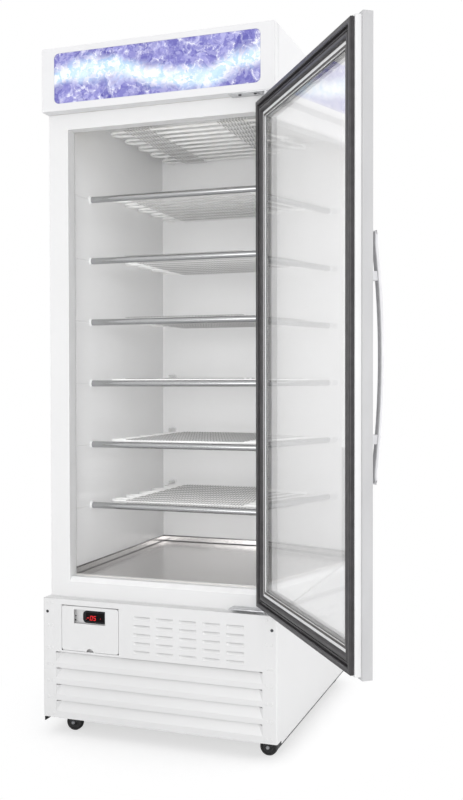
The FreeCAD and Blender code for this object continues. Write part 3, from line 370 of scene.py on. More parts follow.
for number, body in enumerate(wheel_bodies, 1):
    low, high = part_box("caster_wheel_%d" % number)
    centre = (Vector(low) + Vector(high)) / 2
    radius = (high[2] - low[2]) / 2
    w = (high[1] - low[1]) / 2
    tread = [
        (axle_bore, -w), (0.0085, -w), (0.0095, -w + 0.001), (0.0095, -w + rim_inset),
        (radius - 0.008, -w + rim_inset), (radius - 0.007, -w + 0.002), (radius - 0.006, -w + 0.0006),
        (radius - 0.004, -w + 0.0004), (radius - 0.0015, -w + 0.002), (radius - 0.0003, -w + 0.005),
        (radius, 0),
    ]
    tread += [(r, -distance) for r, distance in tread[-2::-1]]
    tread.append(tread[0])
    shape = bmesh.new()
    turned(shape, tread, centre, (0, 1, 0))
    wheel = piece("wheel_%d" % number, shape, body, rubber)
    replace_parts(wheel, "caster_wheel_%d" % number)
    shape = bmesh.new()
    for side in (-1, 1):
        turned(shape, axle_nut, centre + Vector((0, side * (w + nut_seat), 0)), (0, side, 0), 6)
    carrier = body.replace("wheel", "fork") if body.startswith("front") else "cabinet"
    piece("axle_nuts_%d" % number, shape, carrier, zinc)

rail_face_x, rivet_z = 0.3588, 0.0385
rivet = [(0.0024, 0.0), (0.0021, 0.0007), (0.0012, 0.0012), (0.0, 0.0014)]
shape = bmesh.new()
for y in (-0.321, -0.078, -0.037, 0.030, 0.199, 0.222, 0.339):
    for side in (-1, 1):
        turned(shape, rivet, (side * rail_face_x, y, rivet_z), (side, 0, 0), 16)
piece("rail_rivets", shape, "cabinet", black_plate)

# ------------------------------------------------------------------ base panels
# White enamelled sheet over the machine compartment: two posts, a louvred panel, a lower
# grille of four broad slats, side skirts, and a galvanised cover at the back.


def enamel(name, colour, deep, roughness=0.32):
    """Stove enamel on sheet: an even white with a trace of drift and orange peel."""
    material = finish(name, colour, roughness)
    vary(material, 2.5, deep, colour)
    relief(material, 260.0, 0.00012, 0.35, detail=2.0)
    tune(material, {"Coat Weight": 0.25, "Coat Roughness": 0.2})
    return material


base_enamel = enamel("base_enamel", "#E0E0E0", "#DDDDDD")
dress(base_enamel, "front_posts", "slat_grille", "side_skirts", "control_plate")
soften(0.0008, "front_posts", "slat_grille", "side_skirts")
face_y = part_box("front_posts")[0][1]
clinch = [(0.0048, 0.0), (0.0044, 0.0005), (0.0034, 0.0009), (0.002, 0.0007), (0.0, 0.0005)]
shape = bmesh.new()
for z in (0.389, 0.321, 0.254, 0.207, 0.159, 0.110, 0.060):
    for x in (-0.343, -0.329, 0.329, 0.343):
        turned(shape, clinch, (x, face_y, z), (0, -1, 0), 20)
piece("clinch_marks", shape, "cabinet", base_enamel)
dark_zinc = finish("dark_zinc", "#4A4B4D", 0.35, 0.8)
vary(dark_zinc, 300.0, "#3E3F41", "#5A5B5D")


def screws(name, places, axis, radius):
    """Equal screws as one piece on the cabinet."""
    shape = bmesh.new()
    for place in places:
        screw(shape, place, axis, radius)
    piece(name, shape, "cabinet", dark_zinc)


screw_x, sheet_screw = 0.345, 0.0042
screws("post_screws", [(x, face_y, 0.361) for x in (-screw_x, screw_x)], (0, -1, 0), sheet_screw)

# The louvres are pressed in from the panel itself: flush along the foot, 6 mm deep at the
# open slit above, with rounded ends. One sheet, 1.2 mm thick.
panel_low, panel_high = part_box("louvre_panel")
skin = 0.0012
louvre_half, louvre_height, louvre_depth = 0.026, 0.011, 0.006
louvre_x, louvre_top, louvre_pitch, louvre_drop = 0.0987, 0.367, 0.0704, 0.0244
louvres = [(louvre_x + (i - 2) * louvre_pitch, louvre_top - k * louvre_drop)
           for i in range(5) for k in range(5)]
flap_hole = (-0.2985, -0.1140, 0.2510, 0.3844)
holes = [flap_hole] + [(x - louvre_half, x + louvre_half, top - louvre_height, top) for x, top in louvres]
outlines = holes + [(panel_low[0], panel_high[0], panel_low[2], panel_high[2])]
across = sorted({round(v, 6) for outline in outlines for v in outline[:2]})
upward = sorted({round(v, 6) for outline in outlines for v in outline[2:]})
shape = bmesh.new()
grid = [[shape.verts.new((x, face_y, z)) for z in upward] for x in across]
for i in range(len(across) - 1):
    for k in range(len(upward) - 1):
        x, z = (across[i] + across[i + 1]) / 2, (upward[k] + upward[k + 1]) / 2
        if not any(hole[0] < x < hole[1] and hole[2] < z < hole[3] for hole in holes):
            shape.faces.new((grid[i][k], grid[i + 1][k], grid[i + 1][k + 1], grid[i][k + 1]))
flat = len(shape.faces)
columns, rows = 18, 6
for x, top in louvres:
    dish = []
    for k in range(rows + 1):
        rise = k / rows
        z = top - louvre_height * (1 - rise)
        dish.append([])
        for i in range(columns + 1):
            u = math.sin(math.pi * (i / columns - 0.5))
            sink = louvre_depth * (1 - abs(u) ** 7) * rise ** 1.25
            dish[-1].append(shape.verts.new((x + u * louvre_half, face_y + sink, z)))
    skinned(shape, dish)
for face in shape.faces:
    face.normal_update()
    if face.normal.y > 0:
        face.normal_flip()
pressed = bpy.data.meshes.new("pressed_louvres")
shape.to_mesh(pressed)
shape.free()
pressed.polygons.foreach_set("use_smooth", [i >= flat for i in range(len(pressed.polygons))])
pressed = piece("pressed_louvres", pressed, "cabinet", base_enamel)
sheet = pressed.modifiers.new("sheet", "SOLIDIFY")
sheet.thickness = skin
sheet.offset = -1.0
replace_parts(pressed, "louvre_panel")
shape = bmesh.new()
back_y = face_y + skin
tab_y, tab_low, tab_high = face_y + 0.009, 0.3736, flap_hole[3]
block(shape, (panel_low[0], back_y, panel_high[2] - skin), panel_high)
for x in (flap_hole[0] - skin, flap_hole[1]):
    block(shape, (x, back_y, tab_low), (x + skin, tab_y, tab_high), 0.0003)
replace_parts(piece("panel_ledge", shape, "cabinet", base_enamel), "louvre_panel")

galvanised = finish("galvanised_sheet", "#B9BCBE", 0.42, 0.9)
vary(galvanised, 30.0, "#A2A5A8", "#C9CCCE", detail=1.0)
dress(galvanised, "rear_cover", "fan_shroud")
cover_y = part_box("rear_cover")[1][1]
places = [(x, cover_y, z) for x in (-screw_x, 0.0, screw_x) for z in (0.066, 0.386)]
places += [(x, cover_y, 0.226) for x in (-screw_x, screw_x)]
screws("cover_screws", places, (0, 1, 0), sheet_screw)

# ------------------------------------------------------------------ machine compartment
# Finned condenser with its fan, a black compressor pot on rubber feet and a drip tray.
# They show only as dark shapes through the louvres, and from behind and below.
fins = finish("plate_fins", "#A4A6A8", 0.4, 0.9)
vary(fins, 90.0, "#8E9092", "#B7B9BB", (1, 1, 8))
dress(fins, "condenser")
motor_paint = finish("motor_paint", "#3A3C3F", 0.45)
vary(motor_paint, 80.0, "#303235", "#484A4D")
dress(motor_paint, "fan_motor")
blade_plastic = finish("blade_plastic", "#1E1F20", 0.4)
vary(blade_plastic, 50.0, "#191A1B", "#292A2B")
pot_paint = finish("pot_paint", "#141516", 0.3)
vary(pot_paint, 20.0, "#101112", "#1F2021")
relief(pot_paint, 300.0, 0.0002)
pot_low, pot_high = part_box("compressor")
pot_x, pot_y = (pot_low[0] + pot_high[0]) / 2, (pot_low[1] + pot_high[1]) / 2
foot = pot_low[2] + 0.017
base_half, base_sheet = 0.085, 0.003
shape = bmesh.new()
pot = [
    (0.0, 0.0), (0.05, 0.0), (0.066, 0.006), (0.0755, 0.022), (0.0765, 0.06), (0.0765, 0.092),
    (0.078, 0.0935), (0.078, 0.1), (0.0765, 0.1015), (0.0765, 0.135), (0.073, 0.158), (0.062, 0.176),
    (0.045, 0.185), (0.02, 0.188), (0.0, 0.188),
]
turned(shape, pot, (pot_x, pot_y, foot), (0, 0, 1), 48)
block(shape, (pot_x - base_half, pot_y - base_half, foot - base_sheet),
      (pot_x + base_half, pot_y + base_half, foot), 0.001)
middle, stub_root, stub_tip = foot + 0.094, 0.07, 0.094
discharge_z, suction_z = middle - 0.02, middle + 0.02
stub = [(0.007, 0.0), (0.007, 0.02), (0.0062, 0.0205), (0.0055, 0.024)]
for side, z in ((1, suction_z), (-1, discharge_z)):
    turned(shape, stub, (pot_x + side * stub_root, pot_y, z), (side, 0, 0), 20)
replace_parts(piece("compressor_pot", shape, "cabinet", pot_paint), "compressor")
grommet = [(0.01, 0.0), (0.01, 0.004), (0.008, 0.0055), (0.008, 0.0085), (0.01, 0.01), (0.01, 0.014)]
shape = bmesh.new()
for x in (-0.075, 0.075):
    for y in (-0.075, 0.075):
        turned(shape, grommet, (pot_x + x, pot_y + y, pot_low[2]), (0, 0, 1), 24)
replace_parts(piece("compressor_feet", shape, "cabinet", rubber), "compressor")

rotor_low, rotor_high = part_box("fan_rotor")
hub = Vector((0.105, (rotor_low[1] + rotor_high[1]) / 2, 0.1965))
hub_profile = [
    (0.0041, -0.012), (0.024, -0.012), (0.0275, -0.009), (0.028, -0.005), (0.028, 0.012), (0.025, 0.012),
    (0.025, -0.004), (0.009, -0.008), (0.009, 0.012), (0.0041, 0.012), (0.0041, -0.012),
]
blade_root, blade_tip, blade_sheet = 0.027, 0.0955, 0.0016
shape = bmesh.new()
turned(shape, hub_profile, hub, (0, 1, 0), 40)
for blade in range(5):
    heading = 2 * math.pi * blade / 5
    sections = []
    for k in range(9):
        reach = blade_root + k * (blade_tip - blade_root) / 8
        pitch = math.radians(34 - 14 * k / 8)
        chord = 0.020 + 0.012 * math.sin(math.pi * min(k / 7, 1.0) / 2)
        sections.append([])
        for t in [i / 4 - 1 for i in range(9)]:
            arc, rise = t * chord * math.cos(pitch), -t * chord * math.sin(pitch) + 0.003 * (1 - t * t)
            angle = heading + arc / reach
            offset = Vector((reach * math.sin(angle), rise, reach * math.cos(angle)))
            sections[-1].append(shape.verts.new(hub + offset))
    bmesh.ops.solidify(shape, geom=skinned(shape, sections), thickness=blade_sheet)
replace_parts(piece("moulded_rotor", shape, "fan", blade_plastic), "fan_rotor")
tray_plastic = finish("tray_plastic", "#8C8E90", 0.5)
vary(tray_plastic, 25.0, "#7E8082", "#999B9D")
dress(tray_plastic, "drain_pan")
soften(0.0005, "drain_pan")
soften(0.002, "fan_motor")

# ------------------------------------------------------------------ cabinet body
# White enamelled steel outside and a smooth white liner inside, with rigid foam blown in
# between. An off-white moulded strip closes the gap between them all round the opening.
body_enamel = enamel("body_enamel", "#E6E6E6", "#E3E3E3")
dress(body_enamel, "outer_shell", "face_frame")
soften(0.0004, "face_frame")
liner_enamel = enamel("liner_enamel", "#F8F8F8", "#F5F5F5", 0.22)
dress(liner_enamel, "inner_liner")
foam = finish("rigid_foam", "#DCC68E", 0.9)
vary(foam, 40.0, "#CDB57B", "#E6D3A0")
relief(foam, 500.0, 0.0006)
dress(foam, "foam_core")
strip_plastic = finish("strip_plastic", "#EAEAEA", 0.38)
vary(strip_plastic, 30.0, "#F2F2F2", "#F8F8F8", (1, 1, 0.2))
dress(strip_plastic, "breaker_strip")
soften(0.0012, "breaker_strip")

# ------------------------------------------------------------------ floor pan
# A stainless tray folded from one sheet and brushed from side to side. It lies loose on the
# floor of the liner, its rim hemmed along both sides and the back.
satin = finish("satin_stainless", "#DDDBDA", 0.2, 1.0)
vary(satin, 40.0, 0.14, 0.26, (1, 60, 60), socket="Roughness")
relief(satin, 60.0, 0.00008, 0.4, (1, 80, 80))
dress(satin, "floor_pan")
soften(0.0004, "floor_pan")
# The hems and the fold are a darker copy of the pan's stainless: painted shade for the dark lines along the
# rim and in the fold.
pan_rim_painted_shade = finish("pan_rim_painted_shade", "#8F8E8E", 0.22, 1.0)
vary(pan_rim_painted_shade, 60.0, "#858484", "#9B9A9A")
pan_low, pan_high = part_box("floor_pan")
left, right, near, back = pan_low[0], pan_high[0], pan_low[1], pan_high[1]
rim, hem_width, hem_drop, corner = pan_high[2], 0.0026, 0.0045, 0.0012
hems = (((left, near), (left + hem_width, back)), ((right - hem_width, near), (right, back)),
        ((left + corner, back - hem_width), (right - corner, back)))
shape = bmesh.new()
for low, high in hems:
    block(shape, (*low, rim - hem_drop), (*high, rim), 0.0011)
piece("pan_hem", shape, "cabinet", pan_rim_painted_shade)
cove, wall, bed = 0.0028, 0.001, pan_low[2] + 0.0011
curve = [math.pi / 2 * k / 6 for k in range(7)]
curve = [(cove * (1 - math.cos(a)), bed + cove * (1 - math.sin(a))) for a in curve]
shape = bmesh.new()
for x, way in ((left + wall, 1), (right - wall, -1)):
    ends = (near + wall, back - wall)
    skinned(shape, [[shape.verts.new((x + way * out, y, z)) for out, z in curve] for y in ends])
ends = (left + wall, right - wall)
skinned(shape, [[shape.verts.new((x, back - wall - out, z)) for out, z in curve] for x in ends])
piece("pan_fold", shape, "cabinet", pan_rim_painted_shade)

# ------------------------------------------------------------------ shelf rails
# One polished stainless tube under the front of each shelf, held in white plastic sockets
# on the liner. White pegs in the back wall carry the rear bends of the coils.
bright = finish("polished_tube", "#B3B4B5", 0.2, 1.0)
vary(bright, 50.0, 0.12, 0.24, (0.2, 30, 30), socket="Roughness")
socket_plastic = finish("socket_plastic", "#F1F1F1", 0.35)
vary(socket_plastic, 80.0, "#EAEAEA", "#F5F5F5")
rail_low, rail_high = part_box("shelf_rails")
wall_x, wall_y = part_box("wall_fittings")[1][:2]
rail_radius, rail_edge = 0.0095, 0.0006
rail_span = rail_high[2] - rail_low[2] - 2 * rail_radius
shelf_heights = [rail_low[2] + rail_radius + i * rail_span / 5 for i in range(6)]
rail_y = (rail_low[1] + rail_high[1]) / 2
rail_length = rail_high[0] - rail_low[0]
bar = [(rail_radius - rail_edge, 0.0), (rail_radius, rail_edge), (rail_radius, rail_length - rail_edge),
       (rail_radius - rail_edge, rail_length)]
shape = bmesh.new()
for z in shelf_heights:
    turned(shape, bar, (rail_low[0], rail_y, z), (1, 0, 0), 32)
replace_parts(piece("polished_rails", shape, "cabinet", bright), "shelf_rails")
bead_front = rail_y - 0.108
bead = [(0.0, 0.0), (0.0012, 0.0), (0.0012, 0.095), (0.0, 0.096)]
shape = bmesh.new()
for z in shelf_heights:
    for side in (-1, 1):
        turned(shape, bead, (side * wall_x, bead_front, z), (0, 1, 0), 10)
piece("liner_beads", shape, "cabinet", liner_enamel)
cup_bore = rail_radius + 0.0002
cup = [(0.012, 0.0), (0.012, 0.0035), (0.011, 0.0048), (cup_bore, 0.005), (cup_bore, 0.001)]
shape = bmesh.new()
for z in shelf_heights:
    for side in (-1, 1):
        turned(shape, cup, (side * wall_x, rail_y, z), (-side, 0, 0), 28)
coil_nodes = ["evaporator_%d" % i for i in range(1, 8)]
tube_radius = 0.004
coil_heights = [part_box(name)[0][2] + tube_radius for name in coil_nodes[:6]]
coil_heights.append(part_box(coil_nodes[6])[1][2] - tube_radius)
peg_x, peg_radius = -0.252, 0.007
peg = [(0.0105, 0.0), (0.0105, 0.004), (0.0095, 0.0052), (peg_radius, 0.0055), (peg_radius, 0.058),
       (peg_radius - 0.001, 0.06)]
for z in coil_heights:
    turned(shape, peg, (peg_x, wall_y, z + tube_radius + peg_radius), (0, -1, 0), 28)
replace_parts(piece("sockets_and_pegs", shape, "cabinet", socket_plastic), "wall_fittings")

# ------------------------------------------------------------------ evaporator shelves
# Each shelf is its own evaporator: a white coated steel tube bent back and forth in ten
# runs, with thin wires welded across it. The ceiling coil carries wires in two strips only.
coating = finish("white_coating", "#F6F6F5", 0.38)
vary(coating, 40.0, "#F2F2F1", "#F9F9F8")
relief(coating, 350.0, 0.0002)
wire_radius, wire_pitch = 0.001, 0.0096
mat_half = 0.192
strip_inner, strip_outer = 0.113, 0.195
runs, run_pitch = 10, 0.05
bend_radius = run_pitch / 2
loop_x, line_x, last_x = 0.233, 0.280, 0.262
elbow = 0.012
coil_low, coil_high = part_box("evaporator_1")
first_run, end_y = coil_low[1] + 0.035, coil_high[1] - 0.005
last_y = first_run + (runs - 1) * run_pitch

# The wires are painted near-white where they cross the tubes and darker gray in the gaps between the runs: a
# painted highlight over the tubes and painted shade between them.
wire_shade_and_glints = finish("wire_shade_and_glints", "#B4B3B2", 0.45)
tree = wire_shade_and_glints.node_tree
place = tree.nodes.new("ShaderNodeTexCoord")
split = tree.nodes.new("ShaderNodeSeparateXYZ")
tree.links.new(place.outputs["Object"], split.inputs[0])
along = maths(tree, "SUBTRACT", split.outputs["Y"], first_run)
from_weld = maths(tree, "PINGPONG", along, run_pitch / 2)
crossing_glint = ranged(tree, from_weld, 0.009, 0.012, 1.0, 0.0, "LINEAR")
shade(wire_shade_and_glints, crossing_glint, "#A9A8A7", "#FAFAFA")


def tube(name, points):
    """A coated tube along a route."""
    data = bpy.data.curves.new(name, "CURVE")
    data.dimensions = "3D"
    spline = data.splines.new("POLY")
    spline.points.add(len(points) - 1)
    for point, place in zip(spline.points, points):
        point.co = (*place, 1.0)
    data.bevel_depth = tube_radius
    data.bevel_resolution = 3
    data.use_fill_caps = True
    return piece(name, data, "cabinet", coating)


def serpentine(z):
    """Centre line of a coil, with round bends."""
    y = first_run
    route = [(line_x, end_y, z), (line_x, y + elbow, z)]
    for angle in [math.radians(90 * step / 6) for step in range(1, 6)]:
        route.append((line_x - elbow * (1 - math.cos(angle)), y + elbow * (1 - math.sin(angle)), z))
    for run in range(runs - 1):
        side = 1 if run % 2 else -1
        for angle in [math.pi * (step / 12 - 0.5) for step in range(13)]:
            x = side * (loop_x + bend_radius * math.cos(angle))
            route.append((x, y + bend_radius + bend_radius * math.sin(angle), z))
        y += run_pitch
    route.append((last_x, y, z))
    return route


wire = [(wire_radius, 0.0), (wire_radius, coil_high[1] - coil_low[1])]
for name, z in zip(coil_nodes, coil_heights):
    overhead = name == coil_nodes[-1]
    tube(name + "_tube", serpentine(z))
    shape = bmesh.new()
    if overhead:
        count = int((strip_outer - strip_inner) / wire_pitch) + 1
        places = [side * (strip_inner + i * wire_pitch) for side in (-1, 1) for i in range(count)]
    else:
        count = int(2 * mat_half / wire_pitch) + 1
        places = [-mat_half + i * wire_pitch for i in range(count)]
    for layer in (-1, 1):
        stagger = wire_pitch / 2 if layer > 0 else 0.0
        for x in places[:None if layer < 0 or overhead else -1]:
            start = (x + stagger, coil_low[1], z + layer * (tube_radius + wire_radius))
            turned(shape, wire, start, (0, 1, 0), 6)
    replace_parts(piece(name + "_wires", shape, "cabinet", wire_shade_and_glints), name)


def eased(points, reach=elbow, steps=5):
    """A pipe's route with its corners bent round."""
    points = [Vector(p) for p in points]
    route = [points[0]]
    for before, corner, after in zip(points, points[1:], points[2:]):
        cut = min(reach, (corner - before).length / 2, (after - corner).length / 2)
        start = corner.lerp(before, cut / (corner - before).length)
        end = corner.lerp(after, cut / (after - corner).length)
        for t in (i / steps for i in range(steps + 1)):
            route.append(start.lerp(corner, t).lerp(corner.lerp(end, t), t))
    return route + [points[-1]]


# Where the pipes run: beside the coils, up the back wall, and through the floor.
floor_z, aside = 0.400, (last_x + line_x) / 2
riser_y, suction_x, suction_y = 0.315, 0.288, 0.327
lines = []
for low, high in zip(coil_heights, coil_heights[1:]):
    lines.append([(last_x, last_y, low), (aside, last_y, low), (aside, last_y, low + 0.05),
                  (line_x, riser_y, low + 0.1), (line_x, riser_y, high), (line_x, end_y, high)])
lowest, top = coil_heights[0], coil_heights[-1]
lines.append([(line_x, end_y, lowest), (line_x, riser_y, lowest), (line_x, riser_y, floor_z)])
above = top + elbow
lines.append([(last_x, last_y, top), (aside, last_y, top), (aside, last_y, above),
              (aside, suction_y, above), (suction_x, suction_y, above), (suction_x, suction_y, floor_z)])
lines.append([(suction_x, suction_y, floor_z), (suction_x, suction_y, suction_z),
              (suction_x, pot_y, suction_z), (pot_x + stub_tip, pot_y, suction_z)])
bank_low, bank_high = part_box("condenser")
bank_y, inlet_x, outlet = (bank_low[1] + bank_high[1]) / 2, bank_low[0] - 0.016, bank_high[2] - 0.1
lines.append([(pot_x - stub_tip, pot_y, discharge_z), (inlet_x, pot_y, discharge_z),
              (inlet_x, bank_y, discharge_z), (bank_low[0], bank_y, discharge_z)])
lines.append([(bank_high[0], bank_y, outlet), (line_x, bank_y, outlet),
              (line_x, pot_y + 0.078, outlet + 0.05), (line_x, riser_y, outlet + 0.1),
              (line_x, riser_y, floor_z)])
for number, points in enumerate(lines, 1):
    line = tube("line_%d" % number, eased(points))
    if number == 1:
        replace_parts(line, "refrigerant_pipes")

# ------------------------------------------------------------------ canopy and lit sign
# A folded white box over the whole cabinet, with a round-cornered window. Behind it stands a
# printed translucent panel, lit by a tube: its soft pale light, which waves across a violet-blue ground, is
# painted into the film's colour.
canopy_enamel = enamel("canopy_enamel", "#E5E5E6", "#E3E3E4")
dress(canopy_enamel, "canopy_housing")
soften(0.001, "canopy_housing")
canopy_low, canopy_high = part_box("canopy_housing")
cheek_sheet, cheek_depth, margin = 0.0006, 0.036, 0.001
shape = bmesh.new()
for side in (-1, 1):
    x = side * canopy_high[0]
    outer = x + side * cheek_sheet
    block(shape, (min(x, outer), canopy_low[1] + margin, canopy_low[2] + margin),
          (max(x, outer), canopy_low[1] + cheek_depth, canopy_high[2] - margin), 0.0002)
piece("canopy_cheeks", shape, "cabinet", canopy_enamel)

film_print_and_glow = finish("printed_film_and_glow", "#8C8ACF", 0.18)
tree = film_print_and_glow.node_tree
place = tree.nodes.new("ShaderNodeTexCoord")
sign_low, sign_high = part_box("sign_panel")
centre = tree.nodes.new("ShaderNodeMapping")
centre.vector_type = "POINT"
centre.inputs["Location"].default_value = (0.0, 0.0, -(sign_low[2] + sign_high[2]) / 2)
tree.links.new(place.outputs["Object"], centre.inputs["Vector"])


def cloud(scale, detail, **more):
    """Noise about the sign's middle."""
    node = tree.nodes.new("ShaderNodeTexNoise")
    for socket, number in {"Scale": scale, "Detail": detail, **more}.items():
        node.inputs[socket].default_value = number
    tree.links.new(centre.outputs["Vector"], node.inputs["Vector"])
    return node


bent = tree.nodes.new("ShaderNodeVectorMath")
bent.operation = "MULTIPLY_ADD"
bent.inputs[1].default_value = (0.13, 0.13, 0.10)
tree.links.new(cloud(14.0, 9.0, Roughness=0.62).outputs["Color"], bent.inputs[0])
tree.links.new(centre.outputs["Vector"], bent.inputs[2])
coarse, fine = 26.0, 70.0


def facets(scale, feature):
    """Uneven cells in the bent field: their edges or their own random tone."""
    cells = tree.nodes.new("ShaderNodeTexVoronoi")
    cells.feature = feature
    cells.inputs["Scale"].default_value = scale
    tree.links.new(bent.outputs["Vector"], cells.inputs["Vector"])
    return cells


def tones(scale):
    """The random colour of each cell, in its channels."""
    node = tree.nodes.new("ShaderNodeSeparateColor")
    tree.links.new(facets(scale, "F1").outputs["Color"], node.inputs[0])
    return node.outputs


def edges(scale, width, strength):
    """Thin lines where cells meet."""
    apart = facets(scale, "DISTANCE_TO_EDGE").outputs["Distance"]
    return ranged(tree, apart, 0.0, width, strength, 0.0)


def over(factor, under, *stops, source=None):
    """Lay a ramp of the source over what is there."""
    node = tree.nodes.new("ShaderNodeMix")
    node.data_type = "RGBA"
    if isinstance(factor, float):
        node.inputs["Factor"].default_value = factor
    else:
        tree.links.new(factor, node.inputs["Factor"])
    tree.links.new(under, node.inputs["A"])
    tree.links.new(ramp(tree, source or mist, *stops), node.inputs["B"])
    return node.outputs["Result"]


ground_stops = (0.0, "#4D4A9E"), (0.35, "#6764B0"), (0.7, "#7F7DC2"), (1.0, "#9F9DD6")
picture = ramp(tree, tones(coarse)["Red"], *ground_stops)
small = tones(fine)
picture = over(0.45, picture, (0.0, "#5753A8"), (0.6, "#8583C8"), (1.0, "#CFCFF0"), source=small["Green"])
mist = cloud(30.0, 10.0, Distortion=1.5).outputs["Fac"]
picture = over(ranged(tree, mist, 0.50, 0.72, 0.0, 0.6), picture, (0.4, "#C9C8EC"), (0.8, "#E4E4F8"))

# A pale band, the tube's light painted into the film's colour, waves across the ground and wanders with the
# noise.
wave_pitch, wave_start, wave_height, wander, lift = 11.0, 0.6, 0.03, 0.11, -0.044
split = tree.nodes.new("ShaderNodeSeparateXYZ")
tree.links.new(centre.outputs["Vector"], split.inputs[0])
wave = maths(tree, "SINE", maths(tree, "MULTIPLY_ADD", split.outputs["X"], wave_pitch, wave_start))
waved = maths(tree, "MULTIPLY_ADD", wave, wave_height, split.outputs["Z"])
lifted = maths(tree, "MULTIPLY_ADD", cloud(7.0, 7.0).outputs["Fac"], wander, waved)
from_band = maths(tree, "ABSOLUTE", maths(tree, "ADD", lifted, lift))
band = ranged(tree, from_band, 0.006, 0.046, 0.94, 0.0)
pale_stops = (0.0, "#BBDDF6"), (0.4, "#D5ECFB"), (0.7, "#F2F9FE"), (1.0, "#FFFFFF")
picture = over(band, picture, *pale_stops, source=small["Blue"])
veins = maths(tree, "MULTIPLY", edges(coarse, 0.05, 0.9), ranged(tree, mist, 0.46, 0.62))
picture = over(veins, picture, (0.3, "#D9DBF4"), (0.7, "#FFFFFF"))
picture = over(edges(fine, 0.06, 0.3), picture, (0.3, "#9E9CD6"), (0.7, "#FAFAFF"))
shader = tree.nodes["Principled BSDF"]
tree.links.new(picture, shader.inputs["Base Color"])
tree.links.new(picture, shader.inputs["Emission Color"])
tune(film_print_and_glow, {"Emission Strength": 0.06})
dress(film_print_and_glow, "sign_panel")

opal = finish("opal_glass", "#F2F4F6", 0.4)
tune(opal, {"Emission Color": linear("#F4F8FF"), "Emission Strength": 1.2})
vary(opal, 12.0, "#EEF1F4", "#F6F8FA")
dress(opal, "lamp_tube")
dress(socket_plastic, "lamp_holders")

# ------------------------------------------------------------------ door
# Two panes in a white inner frame and a light gray outer frame, with a dark magnetic gasket
# pushed into the inner frame. The door is worked out closed and swung to where it stands.
door_joint = [joint for joint in frame["record"]["behaviour"]["joints"] if joint["name"] == "door_hinge"][0]
swing = math.radians(-door_joint["range_deg"][0])
pivot = Vector(door_joint["pos_m"])
door_matrix = Matrix.Translation(pivot) @ Matrix.Rotation(swing, 4, "Z") @ Matrix.Translation(-pivot)

door_gray = finish("door_gray", "#BCBCBD", 0.36)
vary(door_gray, 18.0, "#B8B8B9", "#C0C0C1", (1, 1, 0.3))
dress(door_gray, "door_frame")
door_white = finish("door_white", "#E8E8E8", 0.36)
vary(door_white, 18.0, "#E5E5E5", "#EAEAEA", (1, 1, 0.3))
dress(door_white, "door_inner_frame")
soften(0.0008, "door_frame", "door_inner_frame")
seal = finish("seal_rubber", "#363437", 0.36)
vary(seal, 50.0, "#2C2A2C", "#3E3C3E")
gasket_profile = [
    (0.8, 0.0), (0.9, 3.4), (0.1, 4.2), (0.0, 5.2), (0.9, 6.0), (0.9, 6.9), (0.3, 7.7), (0.7, 9.0),
    (1.9, 10.2), (3.6, 10.7), (9.8, 10.7), (11.6, 10.3), (12.8, 9.2), (13.3, 7.6), (13.2, 4.6),
    (13.9, 2.2), (15.6, 1.6), (17.4, 1.8), (18.0, 4.4), (18.9, 5.4), (20.2, 5.4), (21.0, 4.6),
    (21.6, 3.2), (22.8, 2.9), (23.6, 4.8), (24.9, 6.8), (27.0, 7.5), (30.0, 7.2), (33.0, 5.6),
    (35.0, 3.2), (35.7, 1.2), (35.8, 0.0),
]
door_half, door_low, door_high = 0.340, 0.414, 1.795
gasket_y, gasket_inset = -0.372, 0.010


def on_door(name, shape, material):
    mesh = mesh_from(shape, name)
    mesh.transform(door_matrix)
    return piece(name, mesh, "door", material)


def mitred(name, profile, material):
    """A frame with mitred corners on the door, from a closed profile of (inset, y)."""
    shape = bmesh.new()
    loops = []
    for inset, y in profile:
        x, low, high = door_half - inset, door_low + inset, door_high - inset
        loops.append([shape.verts.new(c) for c in ((-x, y, low), (x, y, low), (x, y, high), (-x, y, high))])
    skinned(shape, loops + [loops[0]], True)
    return on_door(name, shape, material)


profile = [(gasket_inset + u / 1000, gasket_y + h / 1000) for u, h in gasket_profile]
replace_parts(mitred("moulded_gasket", profile, seal), "door_gasket")
pane = finish("clear_pane", "#FFFFFF", 0.02)
tune(pane, {"Transmission Weight": 1.0, "IOR": 1.45})
dress(pane, "glass_outer", "glass_inner")
glazing_rubber = finish("glazing_rubber", "#4E4B4A", 0.55)
vary(glazing_rubber, 60.0, "#464342", "#575453")
profile = [(0.0535, -0.3721), (0.0535, -0.3713), (0.0543, -0.3709), (0.0585, -0.3709),
           (0.0592, -0.3713), (0.0592, -0.3721)]
mitred("glazing_seal", profile, glazing_rubber)
# A near-white strip over the gray return of the outer frame: painted light for the pale look the return gets
# from light coming through the glass.
return_painted_light = finish("return_painted_light", "#F6F6F6", 0.35)
vary(return_painted_light, 20.0, "#F2F2F2", "#F8F8F8", (1, 1, 0.3))
profile = [(0.0598, -0.4085), (0.0604, -0.4089), (0.0610, -0.4085), (0.0612, -0.3966),
           (0.0625, -0.3961), (0.0598, -0.3961)]
mitred("return_light_strip", profile, return_painted_light)
spacer_metal = finish("spacer_metal", "#7C7B7A", 0.45, 0.5)
tree = spacer_metal.node_tree
place = tree.nodes.new("ShaderNodeTexCoord")
# The punched holes are dark spots painted on the spacer, not cut: painted shade inside the holes.
painted_hole_shade = tree.nodes.new("ShaderNodeTexVoronoi")
painted_hole_shade.inputs["Scale"].default_value = 210.0
painted_hole_shade.inputs["Randomness"].default_value = 0.15
tree.links.new(place.outputs["Object"], painted_hole_shade.inputs["Vector"])
shade(spacer_metal, painted_hole_shade.outputs["Distance"], "#3B3A3A", "#A09F9E")
dress(spacer_metal, "glass_spacer")

